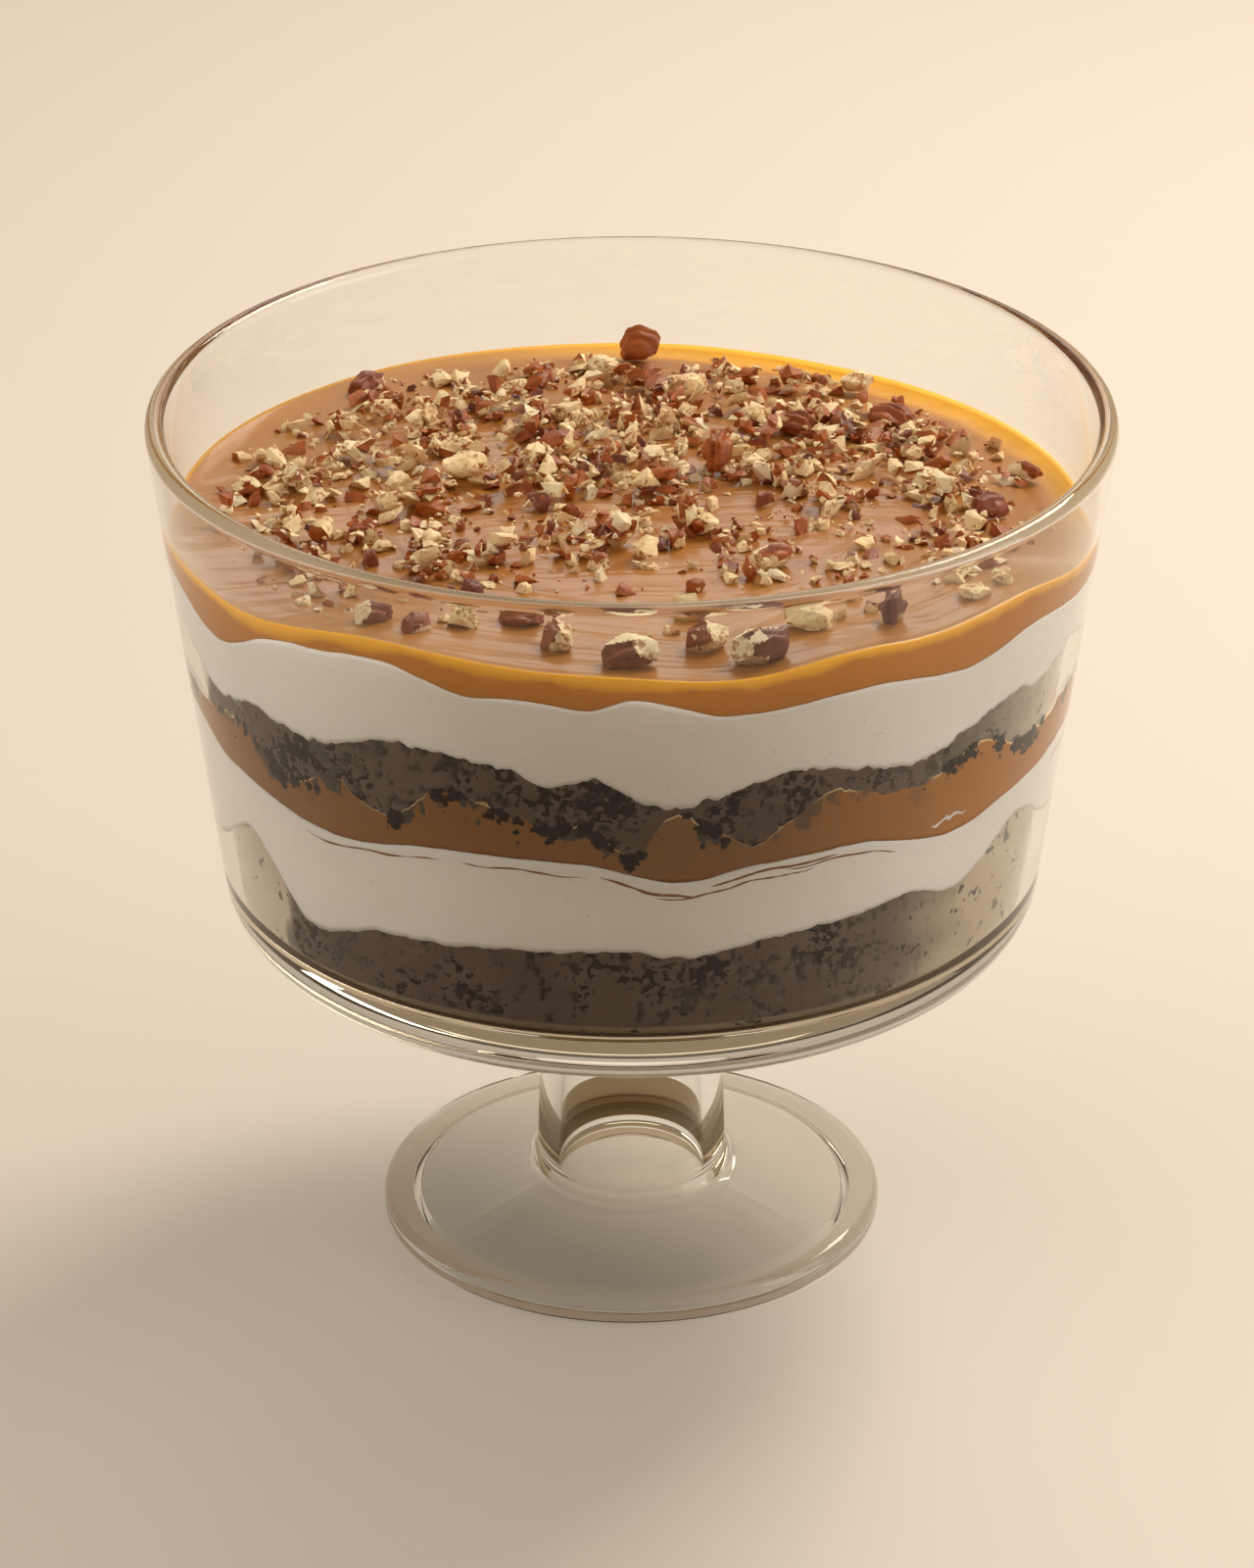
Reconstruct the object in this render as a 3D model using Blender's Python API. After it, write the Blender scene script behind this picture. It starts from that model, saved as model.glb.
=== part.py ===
"""A footed glass bowl filled with a trifle: brownie, cream and caramel in layers, under chopped pecans.

Metres, +Z up. The origin is the middle of the foot's underside, and -Y is the front.
An azimuth is in degrees round the bowl from the front, growing towards +X.
"""

import math
import random

import bmesh
import bpy
from mathutils import Matrix, Vector

MM = 0.001
SIDES = 72  # flat sides round the glass, and the same ones round every layer
GAP = 0.0003  # between neighbouring pieces

# The glass.
HEIGHT = 0.207
RIM_RADIUS = 0.111  # of the outer wall, carried up to the rim
BASE_RADIUS = 0.0938  # of the outer wall, carried down to the underside
UNDERSIDE = 0.079
CORNER_ROUND = 0.0165
WALL = 0.0035
RIM_BEAD = 0.0037
FLOOR = 0.092
FLOOR_FILLET = 0.007

# The stem and the foot.
STEM_TOP_RADIUS = 0.0205
STEM_LOW_RADIUS = 0.0225
STEM_FILLET = 0.004
STEM_FLARE = 0.005
FOOT_CROWN = 0.012  # height of the foot where it meets the stem
FOOT_SHOULDER = 0.0065  # and at its rounded edge
FOOT_RADIUS = 0.0596
FOOT_ROLL = 0.0026
FOOT_CHAMFER = 0.0014  # height at which the foot's edge turns in to its resting ring
REST_INNER = 0.052
REST_OUTER = 0.0578
RECESS = 0.002
RECESS_CROWN = 0.006
HOLLOW_RADIUS = 0.0175  # of the stem's hollow where it opens
HOLLOW_TOP_RADIUS = 0.0155
HOLLOW_SPRING = 0.054  # where its domed top begins
HOLLOW_TOP = 0.066
HOLLOW_FLARE = (0.004, 0.005)  # how far its mouth opens out, and over what height

# Where each layer ends on the glass, as its crests and dips: (azimuth, height in mm).
BASE_EDGE = (
    (-75, 113), (-60, 125), (-48, 108), (-33, 114), (-12, 117), (1, 118), (5, 116), (25, 120),
    (40, 122), (47, 118), (61, 129), (75, 119), (95, 111), (130, 118), (165, 112), (200, 117),
    (235, 111), (262, 116),
)
LOWER_CREAM_EDGE = (
    (-75, 145), (-62, 140), (-43, 136), (-20, 141), (-8, 141), (7, 136), (16, 139), (28, 140),
    (46, 134), (60, 137), (75, 139), (100, 135), (140, 139), (180, 135), (220, 139), (250, 136),
)
MIDDLE_CARAMEL_EDGE = (
    (-75, 151), (-58, 154), (-48, 146), (-40, 152), (-33, 145), (-23, 156), (-10, 149), (-5, 150),
    (0, 143), (6, 154), (15, 144), (25, 155), (37, 150), (50, 155), (59, 148), (75, 151),
    (95, 149), (120, 153), (150, 147), (180, 151), (215, 146), (250, 151),
)
MIDDLE_BROWNIE_EDGE = (
    (-75, 166), (-62, 158), (-54, 161), (-45, 159), (-28, 166), (-18, 165), (-10, 160), (-5, 163),
    (4, 155), (20, 162), (37, 157), (56, 164), (61, 162), (70, 166), (90, 160), (120, 164),
    (150, 158), (180, 162), (215, 157), (250, 163),
)
UPPER_CREAM_EDGE = (
    (-75, 178), (-61, 173), (-45, 183), (-31, 186), (-19, 181), (-13, 182), (-6, 180), (0, 183),
    (12, 178), (30, 180), (45, 177), (57, 180), (72, 177), (100, 174), (130, 171), (160, 174),
    (190, 170), (220, 174), (250, 171),
)
CARAMEL_EDGE = (
    (-75, 186), (-55, 185), (-30, 191), (-5, 189), (12, 187), (28, 190), (38, 189), (52, 190),
    (72, 185), (95, 181), (150, 180), (180, 181), (220, 182), (262, 183),
)

# Heights in the middle of the bowl, where the layers level out.
BASE_LEVEL = 0.116
LOWER_CREAM_LEVEL = 0.138
MIDDLE_CARAMEL_LEVEL = 0.150
MIDDLE_BROWNIE_LEVEL = 0.161
UPPER_CREAM_LEVEL = 0.177
CARAMEL_LEVEL = 0.184
LAYER_SHARES = (1.0, 0.6)  # rings of a layer's faces, as shares of the glass's radius
CARAMEL_SHARES = (1.0, 0.975, 0.93, 0.76, 0.56, 0.36, 0.17)
LIP = 0.0028  # how far the caramel climbs the glass
LIP_WIDTH = 0.06  # share of the radius that the climb takes
SPOON_RELIEF = 0.0005
SPOON_ARMS = 3
SPOON_TWIST = 7.0

# The largest pieces of pecan, from the back to the front: x, y, length and height in mm, turn in degrees.
LARGE_NUTS = (
    (2, 96, 10, 9, 0), (-7, 84, 9, 5, -30), (-63, 72, 11, 6, 45), (54, 77, 10, 5, -20),
    (13, 70, 12, 5, -10), (62, 51, 13, 6, -45), (39, 44, 10, 6, -30), (50, 45, 9, 7, 75),
    (91, 22, 9, 5, -30), (-17, 27, 10, 6, 40), (20, 19, 10, 9, 80), (-39, 15, 12, 6, 30),
    (-53, 5, 10, 6, -80), (-88, 6, 9, 5, -40), (82, -4, 10, 6, 30), (16, -19, 9, 5, -40),
    (31, -40, 11, 6, 30), (74, -59, 10, 4, -50), (56, -69, 9, 8, 80), (38, -73, 12, 6, -20),
    (27, -90, 15, 8, 30), (16, -81, 10, 8, 20), (0, -94, 14, 8, 15), (-16, -84, 10, 8, -80),
    (-24, -70, 10, 5, -10), (-36, -73, 9, 6, 0), (-46, -78, 8, 6, 40), (-56, -71, 10, 6, 10),
)
NUT_WIDTH = 0.75  # of its length
ROUGH_SIZE = 0.62  # half the whole nut behind a piece, as a share of the piece
BREAK = 0.45  # how far from its middle a piece is broken off at each end, as a share of its length
SEAT = 0.4  # and how far below its middle it is flat, as a share of its height
RIDGE = 0.05  # how far its ridges stand, as a share of its width
MOST_TILT = 22  # degrees

# The smaller chopped pieces, which are fused to the caramel.
CHOPPED = 105
LARGEST_CHOPPED = 0.0072
SMALLEST_CHOPPED = 0.0036
CHOPPED_HEIGHT = 0.7  # of its length
NUT_REACH = 0.096  # how far from the middle pecans lie
BARE_MARGIN = 0.020  # they thin out over this much inside that
SUNK = 0.25  # share of a chopped piece that lies in the caramel
CHIP_FOOT = 0.56  # radius of a chopped piece at its base, as a share of its length
CHIP_REACH = 0.55  # room that it takes round its middle, as a share of its length
DRIFT_WIDE = 0.017  # pecans lie in drifts of about this size across
DRIFT_DEEP = 0.021  # and front to back
SEED = 11


def clear_scene():
    for obj in list(bpy.data.objects):
        bpy.data.objects.remove(obj)


def material(name, colour, roughness, metallic=0.0, transmission=0.0):
    made = bpy.data.materials.new(name)
    made.use_nodes = True
    shader = made.node_tree.nodes["Principled BSDF"]
    shader.inputs["Base Color"].default_value = (*colour, 1.0)
    shader.inputs["Roughness"].default_value = roughness
    shader.inputs["Metallic"].default_value = metallic
    shader.inputs["Transmission Weight"].default_value = transmission
    return made


def clear_glass():
    return material("clear_glass", (0.95, 0.97, 0.95), 0.03, transmission=1.0)


def chocolate_brownie():
    return material("chocolate_brownie", (0.035, 0.024, 0.018), 0.8)


def whipped_cream():
    return material("whipped_cream", (0.83, 0.79, 0.72), 0.45)


def caramel():
    return material("caramel", (0.46, 0.22, 0.075), 0.25)


def pecan():
    return material("pecan", (0.42, 0.22, 0.12), 0.5)


def add_object(name, shape, finish):
    """Makes a bmesh into a named object with its faces turned outwards."""
    bmesh.ops.recalc_face_normals(shape, faces=shape.faces[:])
    mesh = bpy.data.meshes.new(name)
    shape.to_mesh(mesh)
    shape.free()
    mesh.materials.append(finish)
    obj = bpy.data.objects.new(name, mesh)
    bpy.context.scene.collection.objects.link(obj)
    return obj


def arc(centre, radius, start, end, steps):
    """Points of an arc in (radius, height), from one angle to another in degrees."""
    points = []
    for step in range(steps + 1):
        angle = math.radians(start + (end - start) * step / steps)
        points.append((centre[0] + radius * math.cos(angle), centre[1] + radius * math.sin(angle)))
    return points


WALL_SLOPE = (RIM_RADIUS - BASE_RADIUS) / (HEIGHT - UNDERSIDE)
WALL_LEAN = math.atan(WALL_SLOPE)


def outer_radius(height):
    return BASE_RADIUS + WALL_SLOPE * (height - UNDERSIDE)


def inner_radius(height, clearance=0.0):
    return outer_radius(height) - (WALL + clearance) / math.cos(WALL_LEAN)


def floor_fillet(clearance=0.0):
    """The rounded corner between floor and wall, from the floor up."""
    height = FLOOR + FLOOR_FILLET
    centre = (inner_radius(height) - FLOOR_FILLET / math.cos(WALL_LEAN), height)
    return arc(centre, FLOOR_FILLET - clearance, -90, -math.degrees(WALL_LEAN), 2)


def rim_arc():
    lean = math.degrees(WALL_LEAN)
    height = HEIGHT - RIM_BEAD / 2
    middle = outer_radius(height) - WALL / 2 / math.cos(WALL_LEAN)
    return arc((middle, height), RIM_BEAD / 2, 180 - lean, -lean, 4)


def bowl_corner():
    height = UNDERSIDE + CORNER_ROUND
    centre = (outer_radius(height) - CORNER_ROUND / math.cos(WALL_LEAN), height)
    return arc(centre, CORNER_ROUND, -math.degrees(WALL_LEAN), -90, 4)


def stem_outline():
    top = arc((STEM_TOP_RADIUS + STEM_FILLET, UNDERSIDE - STEM_FILLET), STEM_FILLET, 90, 180, 2)
    flare_centre = (STEM_LOW_RADIUS + STEM_FLARE, FOOT_CROWN + STEM_FLARE)
    return top + arc(flare_centre, STEM_FLARE, 180, 270, 2)


def foot_outline():
    roll_centre = (FOOT_RADIUS - FOOT_ROLL, FOOT_SHOULDER - FOOT_ROLL)
    edge = arc(roll_centre, FOOT_ROLL, 85, 0, 2)
    rest = [(FOOT_RADIUS, FOOT_CHAMFER), (REST_OUTER, 0.0), (REST_INNER, 0.0)]
    return edge + rest + [(REST_INNER - RECESS, RECESS)]


def hollow_outline():
    dome = []
    for degrees in (0, 45, 90):
        angle = math.radians(degrees)
        rise = (HOLLOW_TOP - HOLLOW_SPRING) * math.sin(angle)
        dome.append((HOLLOW_TOP_RADIUS * math.cos(angle), HOLLOW_SPRING + rise))
    dome[-1] = (0.0, HOLLOW_TOP)
    wider, higher = HOLLOW_FLARE
    mouth = [(HOLLOW_RADIUS + wider, RECESS_CROWN), (HOLLOW_RADIUS, RECESS_CROWN + higher)]
    return mouth + dome


def glass_bowl():
    """The whole vessel as one turned body: bowl, hollow stem and foot."""
    outline = [(0.0, FLOOR)] + floor_fillet() + rim_arc() + bowl_corner()
    outline += stem_outline() + foot_outline() + hollow_outline()
    shape = bmesh.new()
    rings = []
    for radius, height in outline:
        if radius == 0.0:
            rings.append([shape.verts.new((0.0, 0.0, height))])
        else:
            rings.append([shape.verts.new(on_ring(radius, height, side)) for side in range(SIDES)])
    for inside, outside in zip(rings, rings[1:]):
        join_rings(shape, inside, outside)
    obj = add_object("glass_bowl", shape, clear_glass())
    obj.data.shade_smooth()
    obj.data.set_sharp_from_angle(angle=math.radians(40))


def azimuth_of(side):
    return 360.0 * side / SIDES


def on_ring(radius, height, side):
    angle = math.radians(azimuth_of(side))
    return Vector((radius * math.sin(angle), -radius * math.cos(angle), height))


def join_rings(shape, first, second):
    """Faces between two rings, either of which may be a single point."""
    for side in range(SIDES):
        after = (side + 1) % SIDES
        if len(first) == 1:
            shape.faces.new((first[0], second[side], second[after]))
        elif len(second) == 1:
            shape.faces.new((first[side], second[0], first[after]))
        else:
            shape.faces.new((first[side], second[side], second[after]))
            shape.faces.new((first[side], second[after], first[after]))


def edge_height(edge, azimuth):
    """Height of a layer's edge, easing from each crest or dip to the next."""
    azimuth = (azimuth - edge[0][0]) % 360 + edge[0][0]
    closed = edge + ((edge[0][0] + 360, edge[0][1]),)
    for (before, low), (after, high) in zip(closed, closed[1:]):
        if before <= azimuth <= after:
            share = (azimuth - before) / (after - before)
            eased = share * share * (3 - 2 * share)
            return (low + (high - low) * eased) * MM
    raise ValueError(azimuth)


def layer_height(edge, level, azimuth, share):
    """Height of the face between two layers, at a share of the glass's radius."""
    return level + (edge_height(edge, azimuth) - level) * share * share


def caramel_height(azimuth, share):
    """The caramel's top: it climbs the glass in a lip, and spoon strokes wind round it."""
    lip = LIP * (1 - min(1.0, (1 - share) / LIP_WIDTH)) ** 2
    face = level_under_lip(azimuth, share)
    fade = min(1.0, (1 - share) / LIP_WIDTH) * min(1.0, share / 0.3)
    strokes = math.sin(SPOON_ARMS * math.radians(azimuth) + SPOON_TWIST * share)
    return face + lip + SPOON_RELIEF * fade * strokes


def level_under_lip(azimuth, share):
    edge = edge_height(CARAMEL_EDGE, azimuth) - LIP
    return CARAMEL_LEVEL + (edge - CARAMEL_LEVEL) * share * share


def surface_below(x, y):
    """Height of the caramel at a point."""
    azimuth = math.degrees(math.atan2(x, -y))
    share = math.hypot(x, y) / inner_radius(CARAMEL_LEVEL, GAP)
    return caramel_height(azimuth, min(share, 1.0))


def sheet(shape, height_at, shares):
    """Rings of points on one face of a layer, from the glass inwards to its middle."""
    rings = []
    for share in shares:
        ring = []
        for side in range(SIDES):
            height = height_at(azimuth_of(side), share)
            ring.append(shape.verts.new(on_ring(share * inner_radius(height, GAP), height, side)))
        rings.append(ring)
    rings.append([shape.verts.new((0.0, 0.0, height_at(0.0, 0.0)))])
    return rings


def layer_shape(bottom_at, top_at, top_shares=LAYER_SHARES):
    shape = bmesh.new()
    bottom = sheet(shape, bottom_at, LAYER_SHARES)
    top = sheet(shape, top_at, top_shares)
    close_layer(shape, bottom, top)
    return shape


def close_layer(shape, bottom, top):
    for rings in (bottom, top):
        for outside, inside in zip(rings, rings[1:]):
            join_rings(shape, outside, inside)
    join_rings(shape, bottom[0], top[0])


def between(edge, level, raised=0.0):
    """The face between two layers: a layer's top, or raised by the gap, the next one's bottom."""
    return lambda azimuth, share: layer_height(edge, level, azimuth, share) + raised


def brownie_base():
    """The lowest layer, which fills the rounded corner at the floor."""
    shape = bmesh.new()
    top = sheet(shape, between(BASE_EDGE, BASE_LEVEL), LAYER_SHARES)
    bottom = []
    for radius, height in reversed(floor_fillet(GAP)):
        bottom.append([shape.verts.new(on_ring(radius, height, side)) for side in range(SIDES)])
    bottom.append([shape.verts.new((0.0, 0.0, FLOOR + GAP))])
    close_layer(shape, bottom, top)
    add_object("brownie_base", shape, chocolate_brownie())


def add_layer(name, below, above, finish):
    shape = layer_shape(between(*below, GAP), between(*above))
    add_object(name, shape, finish)


def soft_layers():
    base = (BASE_EDGE, BASE_LEVEL)
    lower_cream = (LOWER_CREAM_EDGE, LOWER_CREAM_LEVEL)
    middle_caramel = (MIDDLE_CARAMEL_EDGE, MIDDLE_CARAMEL_LEVEL)
    middle_brownie = (MIDDLE_BROWNIE_EDGE, MIDDLE_BROWNIE_LEVEL)
    upper_cream = (UPPER_CREAM_EDGE, UPPER_CREAM_LEVEL)
    add_layer("cream_lower", base, lower_cream, whipped_cream())
    add_layer("caramel_middle", lower_cream, middle_caramel, caramel())
    add_layer("brownie_middle", middle_caramel, middle_brownie, chocolate_brownie())
    add_layer("cream_upper", middle_brownie, upper_cream, whipped_cream())


def close_cut(shape):
    cut = [edge for edge in shape.edges if edge.is_boundary]
    if cut:
        bmesh.ops.contextual_create(shape, geom=cut)


def cut_away(shape, point, normal):
    geometry = shape.verts[:] + shape.edges[:] + shape.faces[:]
    bmesh.ops.bisect_plane(shape, geom=geometry, plane_co=point, plane_no=normal, clear_outer=True)
    close_cut(shape)


def large_shape(draw, length, height):
    """A large piece of chopped pecan on the plane z = 0: a ridged back, broken ends and a flat seat."""
    shape = bmesh.new()
    bmesh.ops.create_uvsphere(shape, u_segments=7, v_segments=4, radius=1.0)
    bmesh.ops.rotate(shape, verts=shape.verts[:], matrix=Matrix.Rotation(math.pi / 2, 3, "Y"))
    half = Vector((length * ROUGH_SIZE, length * NUT_WIDTH / 2, height * ROUGH_SIZE))
    for index, vertex in enumerate(shape.verts):
        ridge = 1.0 + RIDGE * (-1) ** index
        wobble = ridge * draw.uniform(0.94, 1.04)
        vertex.co = Vector((vertex.co.x * half.x, vertex.co.y * half.y, vertex.co.z * half.z)) * wobble
    tilt = Matrix.Rotation(math.radians(draw.uniform(-MOST_TILT, MOST_TILT)), 3, "X")
    bmesh.ops.rotate(shape, verts=shape.verts[:], matrix=tilt)
    for end in (-1, 1):
        normal = Vector((end, draw.uniform(-0.5, 0.5), draw.uniform(-0.4, 0.5))).normalized()
        cut_away(shape, Vector((end * length * BREAK, 0, 0)), normal)
    cut_away(shape, Vector((0, 0, -height * SEAT)), Vector((0, 0, -1)))
    bmesh.ops.translate(shape, verts=shape.verts[:], vec=(0, 0, height * SEAT))
    return shape


def chip_shape(draw, length, height):
    """A small chopped piece standing on the plane z = 0: broken sides, no two alike."""
    shape = bmesh.new()
    top = draw.uniform(0.28, 0.48)
    sides = draw.choice((4, 5))
    bmesh.ops.create_cone(shape, cap_ends=True, segments=sides, radius1=CHIP_FOOT, radius2=top, depth=1.0)
    narrow = draw.uniform(0.6, 0.95)
    for vertex in shape.verts:
        wobble = draw.uniform(0.85, 1.15)
        x, y = vertex.co.x * length * wobble, vertex.co.y * length * narrow * wobble
        vertex.co = Vector((x, y, (vertex.co.z + 0.5) * height * draw.uniform(0.85, 1.1)))
    tilt = Matrix.Rotation(math.radians(draw.uniform(-14, 14)), 3, "Y")
    bmesh.ops.rotate(shape, verts=shape.verts[:], matrix=tilt)
    return shape


def place(shape, x, y, height, turn):
    matrix = Matrix.Translation((x, y, height)) @ Matrix.Rotation(math.radians(turn), 4, "Z")
    bmesh.ops.transform(shape, matrix=matrix, verts=shape.verts[:])


def seat_height(x, y, reach):
    """The highest that the caramel stands under a piece, so that the piece rests clear of it."""
    around = [surface_below(x, y)]
    for step in range(8):
        angle = math.tau * step / 8
        around.append(surface_below(x + reach * math.cos(angle), y + reach * math.sin(angle)))
    return max(around)


def large_nuts():
    for index, (x, y, length, height, turn) in enumerate(LARGE_NUTS, 1):
        draw = random.Random(SEED + index)
        shape = large_shape(draw, length * MM, height * MM)
        seat = seat_height(x * MM, y * MM, length * MM * 0.45) + GAP
        place(shape, x * MM, y * MM, seat, turn)
        add_object(f"pecan_{index:02d}", shape, pecan())


def how_thick(x, y):
    """How thickly pecans lie at a point, from 0 to 1: in drifts, with a bare margin."""
    radius = math.hypot(x, y)
    margin = min(1.0, max(0.0, (NUT_REACH - radius) / BARE_MARGIN))
    drifts = 0.62 + 0.38 * math.sin(x / DRIFT_WIDE + 1.0) * math.cos(y / DRIFT_DEEP - 0.6)
    return margin * drifts


def chopped_places():
    """Places for the chopped pieces, largest first: (x, y, length, turn, seed)."""
    draw = random.Random(SEED)
    places = []
    taken = [(x * MM, y * MM, length * MM / 2) for x, y, length, _, _ in LARGE_NUTS]
    while len(places) < CHOPPED:
        share = 1 - len(places) / CHOPPED
        length = SMALLEST_CHOPPED + (LARGEST_CHOPPED - SMALLEST_CHOPPED) * share ** 1.6
        radius = NUT_REACH * math.sqrt(draw.random())
        angle = draw.uniform(0, math.tau)
        x, y = radius * math.cos(angle), radius * math.sin(angle)
        turn = draw.uniform(0, 360)
        wanted = draw.random() < how_thick(x, y)
        reach = length * CHIP_REACH
        clear = all(math.hypot(x - a, y - b) > reach + r + GAP for a, b, r in taken)
        if wanted and clear:
            taken.append((x, y, reach))
            places.append((x, y, length, turn, len(places)))
    return places


def chopped_pieces(finish):
    """The chopped pieces as objects of one collection, each sunk a little into the caramel."""
    group = bpy.data.collections.new("chopped")
    bpy.context.scene.collection.children.link(group)
    for x, y, length, turn, seed in chopped_places():
        draw = random.Random(seed)
        height = length * CHOPPED_HEIGHT
        shape = chip_shape(draw, length, height)
        place(shape, x, y, surface_below(x, y) - SUNK * height, turn)
        piece = add_object(f"chopped_{seed}", shape, finish)
        bpy.context.scene.collection.objects.unlink(piece)
        group.objects.link(piece)
    return group


def caramel_top():
    """The poured caramel, with the chopped pecans that lie on it joined to it in one union."""
    underneath = between(UPPER_CREAM_EDGE, UPPER_CREAM_LEVEL, GAP)
    shape = layer_shape(underneath, caramel_height, top_shares=CARAMEL_SHARES)
    obj = add_object("caramel_top", shape, caramel())
    group = chopped_pieces(pecan())
    union = obj.modifiers.new("chopped", "BOOLEAN")
    union.operation = "UNION"
    union.operand_type = "COLLECTION"
    union.collection = group
    union.solver = "EXACT"
    bpy.context.view_layer.update()
    graph = bpy.context.evaluated_depsgraph_get()
    joined = bpy.data.meshes.new_from_object(obj.evaluated_get(graph))
    obj.modifiers.clear()
    obj.data = joined
    for piece in list(group.objects):
        bpy.data.objects.remove(piece)
    bpy.data.collections.remove(group)


def build():
    clear_scene()
    glass_bowl()
    brownie_base()
    soft_layers()
    caramel_top()
    large_nuts()


build()
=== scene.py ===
# %% [markdown]
# A trifle in a footed glass bowl. A trifle is built in layers that are meant to be seen, so this
# lesson makes the clear bowl first, then each layer as it presses against the glass, and last the
# chopped pecans on top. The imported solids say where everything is. Each cell reads its sizes from
# them, or repeats a few driving dimensions of the glass, and then adds what the eye looks for.

# %% Load the solids
import math
import random

import bmesh
import bpy
import numpy as np
from mathutils import Matrix, Vector, noise
from mathutils.bvhtree import BVHTree


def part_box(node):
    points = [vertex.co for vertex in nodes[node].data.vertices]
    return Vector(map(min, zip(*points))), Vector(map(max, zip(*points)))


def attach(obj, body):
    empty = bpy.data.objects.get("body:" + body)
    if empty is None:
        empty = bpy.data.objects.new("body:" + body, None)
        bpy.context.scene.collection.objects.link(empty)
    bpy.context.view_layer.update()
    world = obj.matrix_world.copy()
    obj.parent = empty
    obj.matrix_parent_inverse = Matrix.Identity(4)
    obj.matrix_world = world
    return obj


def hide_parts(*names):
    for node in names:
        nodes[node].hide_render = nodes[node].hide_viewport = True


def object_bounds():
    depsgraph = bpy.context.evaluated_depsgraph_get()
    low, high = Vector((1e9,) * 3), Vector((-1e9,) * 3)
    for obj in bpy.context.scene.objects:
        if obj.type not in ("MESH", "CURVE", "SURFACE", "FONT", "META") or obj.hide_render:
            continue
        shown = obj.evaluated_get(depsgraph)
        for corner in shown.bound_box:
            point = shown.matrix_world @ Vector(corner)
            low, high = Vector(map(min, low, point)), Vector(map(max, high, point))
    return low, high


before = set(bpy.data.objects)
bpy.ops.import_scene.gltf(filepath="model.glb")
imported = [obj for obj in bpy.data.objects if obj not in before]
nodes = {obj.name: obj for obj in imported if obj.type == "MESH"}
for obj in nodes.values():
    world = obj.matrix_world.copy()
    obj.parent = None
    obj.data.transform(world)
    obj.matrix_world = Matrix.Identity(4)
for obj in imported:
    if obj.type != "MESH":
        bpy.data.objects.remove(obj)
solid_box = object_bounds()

MM = 0.001
scene = bpy.context.scene
extent = [round(float(b - a) / MM, 1) for a, b in zip(*solid_box)]
print("solids:", len(nodes), "in a box of", extent, "mm")

# %% [markdown]
# The camera stands where the photographer's stood: a long lens 1.45 m away looks down at 26 degrees.
# A camera could be set by eye, but the ellipses of the rim and the foot fix its height and distance,
# so the numbers below are measured ones. The bowl's axis lies a hair right of the picture's middle,
# and a tiny turn of the camera gives that without any lens shift.

# %% Camera
CAMERA_DISTANCE = 1.451
CAMERA_RISE = math.radians(26.23)
CAMERA_PITCH = math.radians(25.94)
CAMERA_TURN = math.radians(0.046)
MIDDLE_HEIGHT = 0.1035
LENS = 141.8


def photo_camera():
    camera = bpy.data.objects.new("photo_camera", bpy.data.cameras.new("photo_camera"))
    scene.collection.objects.link(camera)
    out = CAMERA_DISTANCE * math.cos(CAMERA_RISE)
    up = MIDDLE_HEIGHT + CAMERA_DISTANCE * math.sin(CAMERA_RISE)
    camera.location = (0.0, -out, up)
    camera.rotation_euler = (math.pi / 2 - CAMERA_PITCH, 0.0, CAMERA_TURN)
    camera.data.lens = LENS
    camera.data.clip_start = 0.05
    camera.data.clip_end = 40.0
    scene.camera = camera
    return camera


camera = photo_camera()
print("camera at", [round(v, 3) for v in camera.location], "m, lens", LENS, "mm")

# %% [markdown]
# A material is a small graph of nodes. Each node takes plain values or the results of other nodes, so
# one helper feeds both by the input's name. What stays the same all over a food is set on the shader
# itself, and only what varies over the surface comes from other nodes.

# %% Helpers for materials
def give(tree, socket, value):
    """Links a socket to an input, or sets the input to a plain value."""
    if isinstance(value, bpy.types.NodeSocket):
        tree.links.new(value, socket)
    elif socket.type == "RGBA":
        socket.default_value = (*value, 1.0)
    else:
        socket.default_value = value


def feed(tree, taker, **values):
    """Gives a node's inputs their values; an underscore in a keyword stands for a space."""
    for label, value in values.items():
        give(tree, taker.inputs[label.replace("_", " ")], value)
    return taker


def new_node(tree, kind, **values):
    """A new node of a kind, with its inputs fed."""
    return feed(tree, tree.nodes.new("ShaderNode" + kind), **values)


def maths(tree, operation, *values, kind="Math"):
    """The result of a Math or VectorMath node."""
    made = tree.nodes.new("ShaderNode" + kind)
    made.operation = operation
    for socket, value in zip(made.inputs, values):
        give(tree, socket, value)
    return made.outputs[0]


def cloud(tree, place, scale, detail=2.0, roughness=0.5):
    """Soft noise between 0 and 1."""
    made = new_node(tree, "TexNoise", Vector=place, Scale=scale, Detail=detail, Roughness=roughness)
    return made.outputs["Fac"]


def mix_colours(tree, factor, first, second):
    """Mixes two colours; each is a socket or a plain colour."""
    mix = tree.nodes.new("ShaderNodeMix")
    mix.data_type = "RGBA"
    return feed(tree, mix, Factor=factor, A=first, B=second).outputs["Result"]


def attribute(tree, name, output="Fac"):
    """A value that the mesh stores."""
    read = tree.nodes.new("ShaderNodeAttribute")
    read.attribute_name = name
    return read.outputs[output]


def object_place(tree):
    return tree.nodes.new("ShaderNodeTexCoord").outputs["Object"]


def add_bump(tree, shader, height, distance, strength):
    bump = new_node(tree, "Bump", Height=height, Distance=distance, Strength=strength)
    feed(tree, shader, Normal=bump.outputs["Normal"])


def plain_material(name, colour, roughness):
    made = bpy.data.materials.new(name)
    made.use_nodes = True
    shader = made.node_tree.nodes["Principled BSDF"]
    feed(made.node_tree, shader, Base_Color=colour, Roughness=roughness)
    return made, made.node_tree, shader


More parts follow.
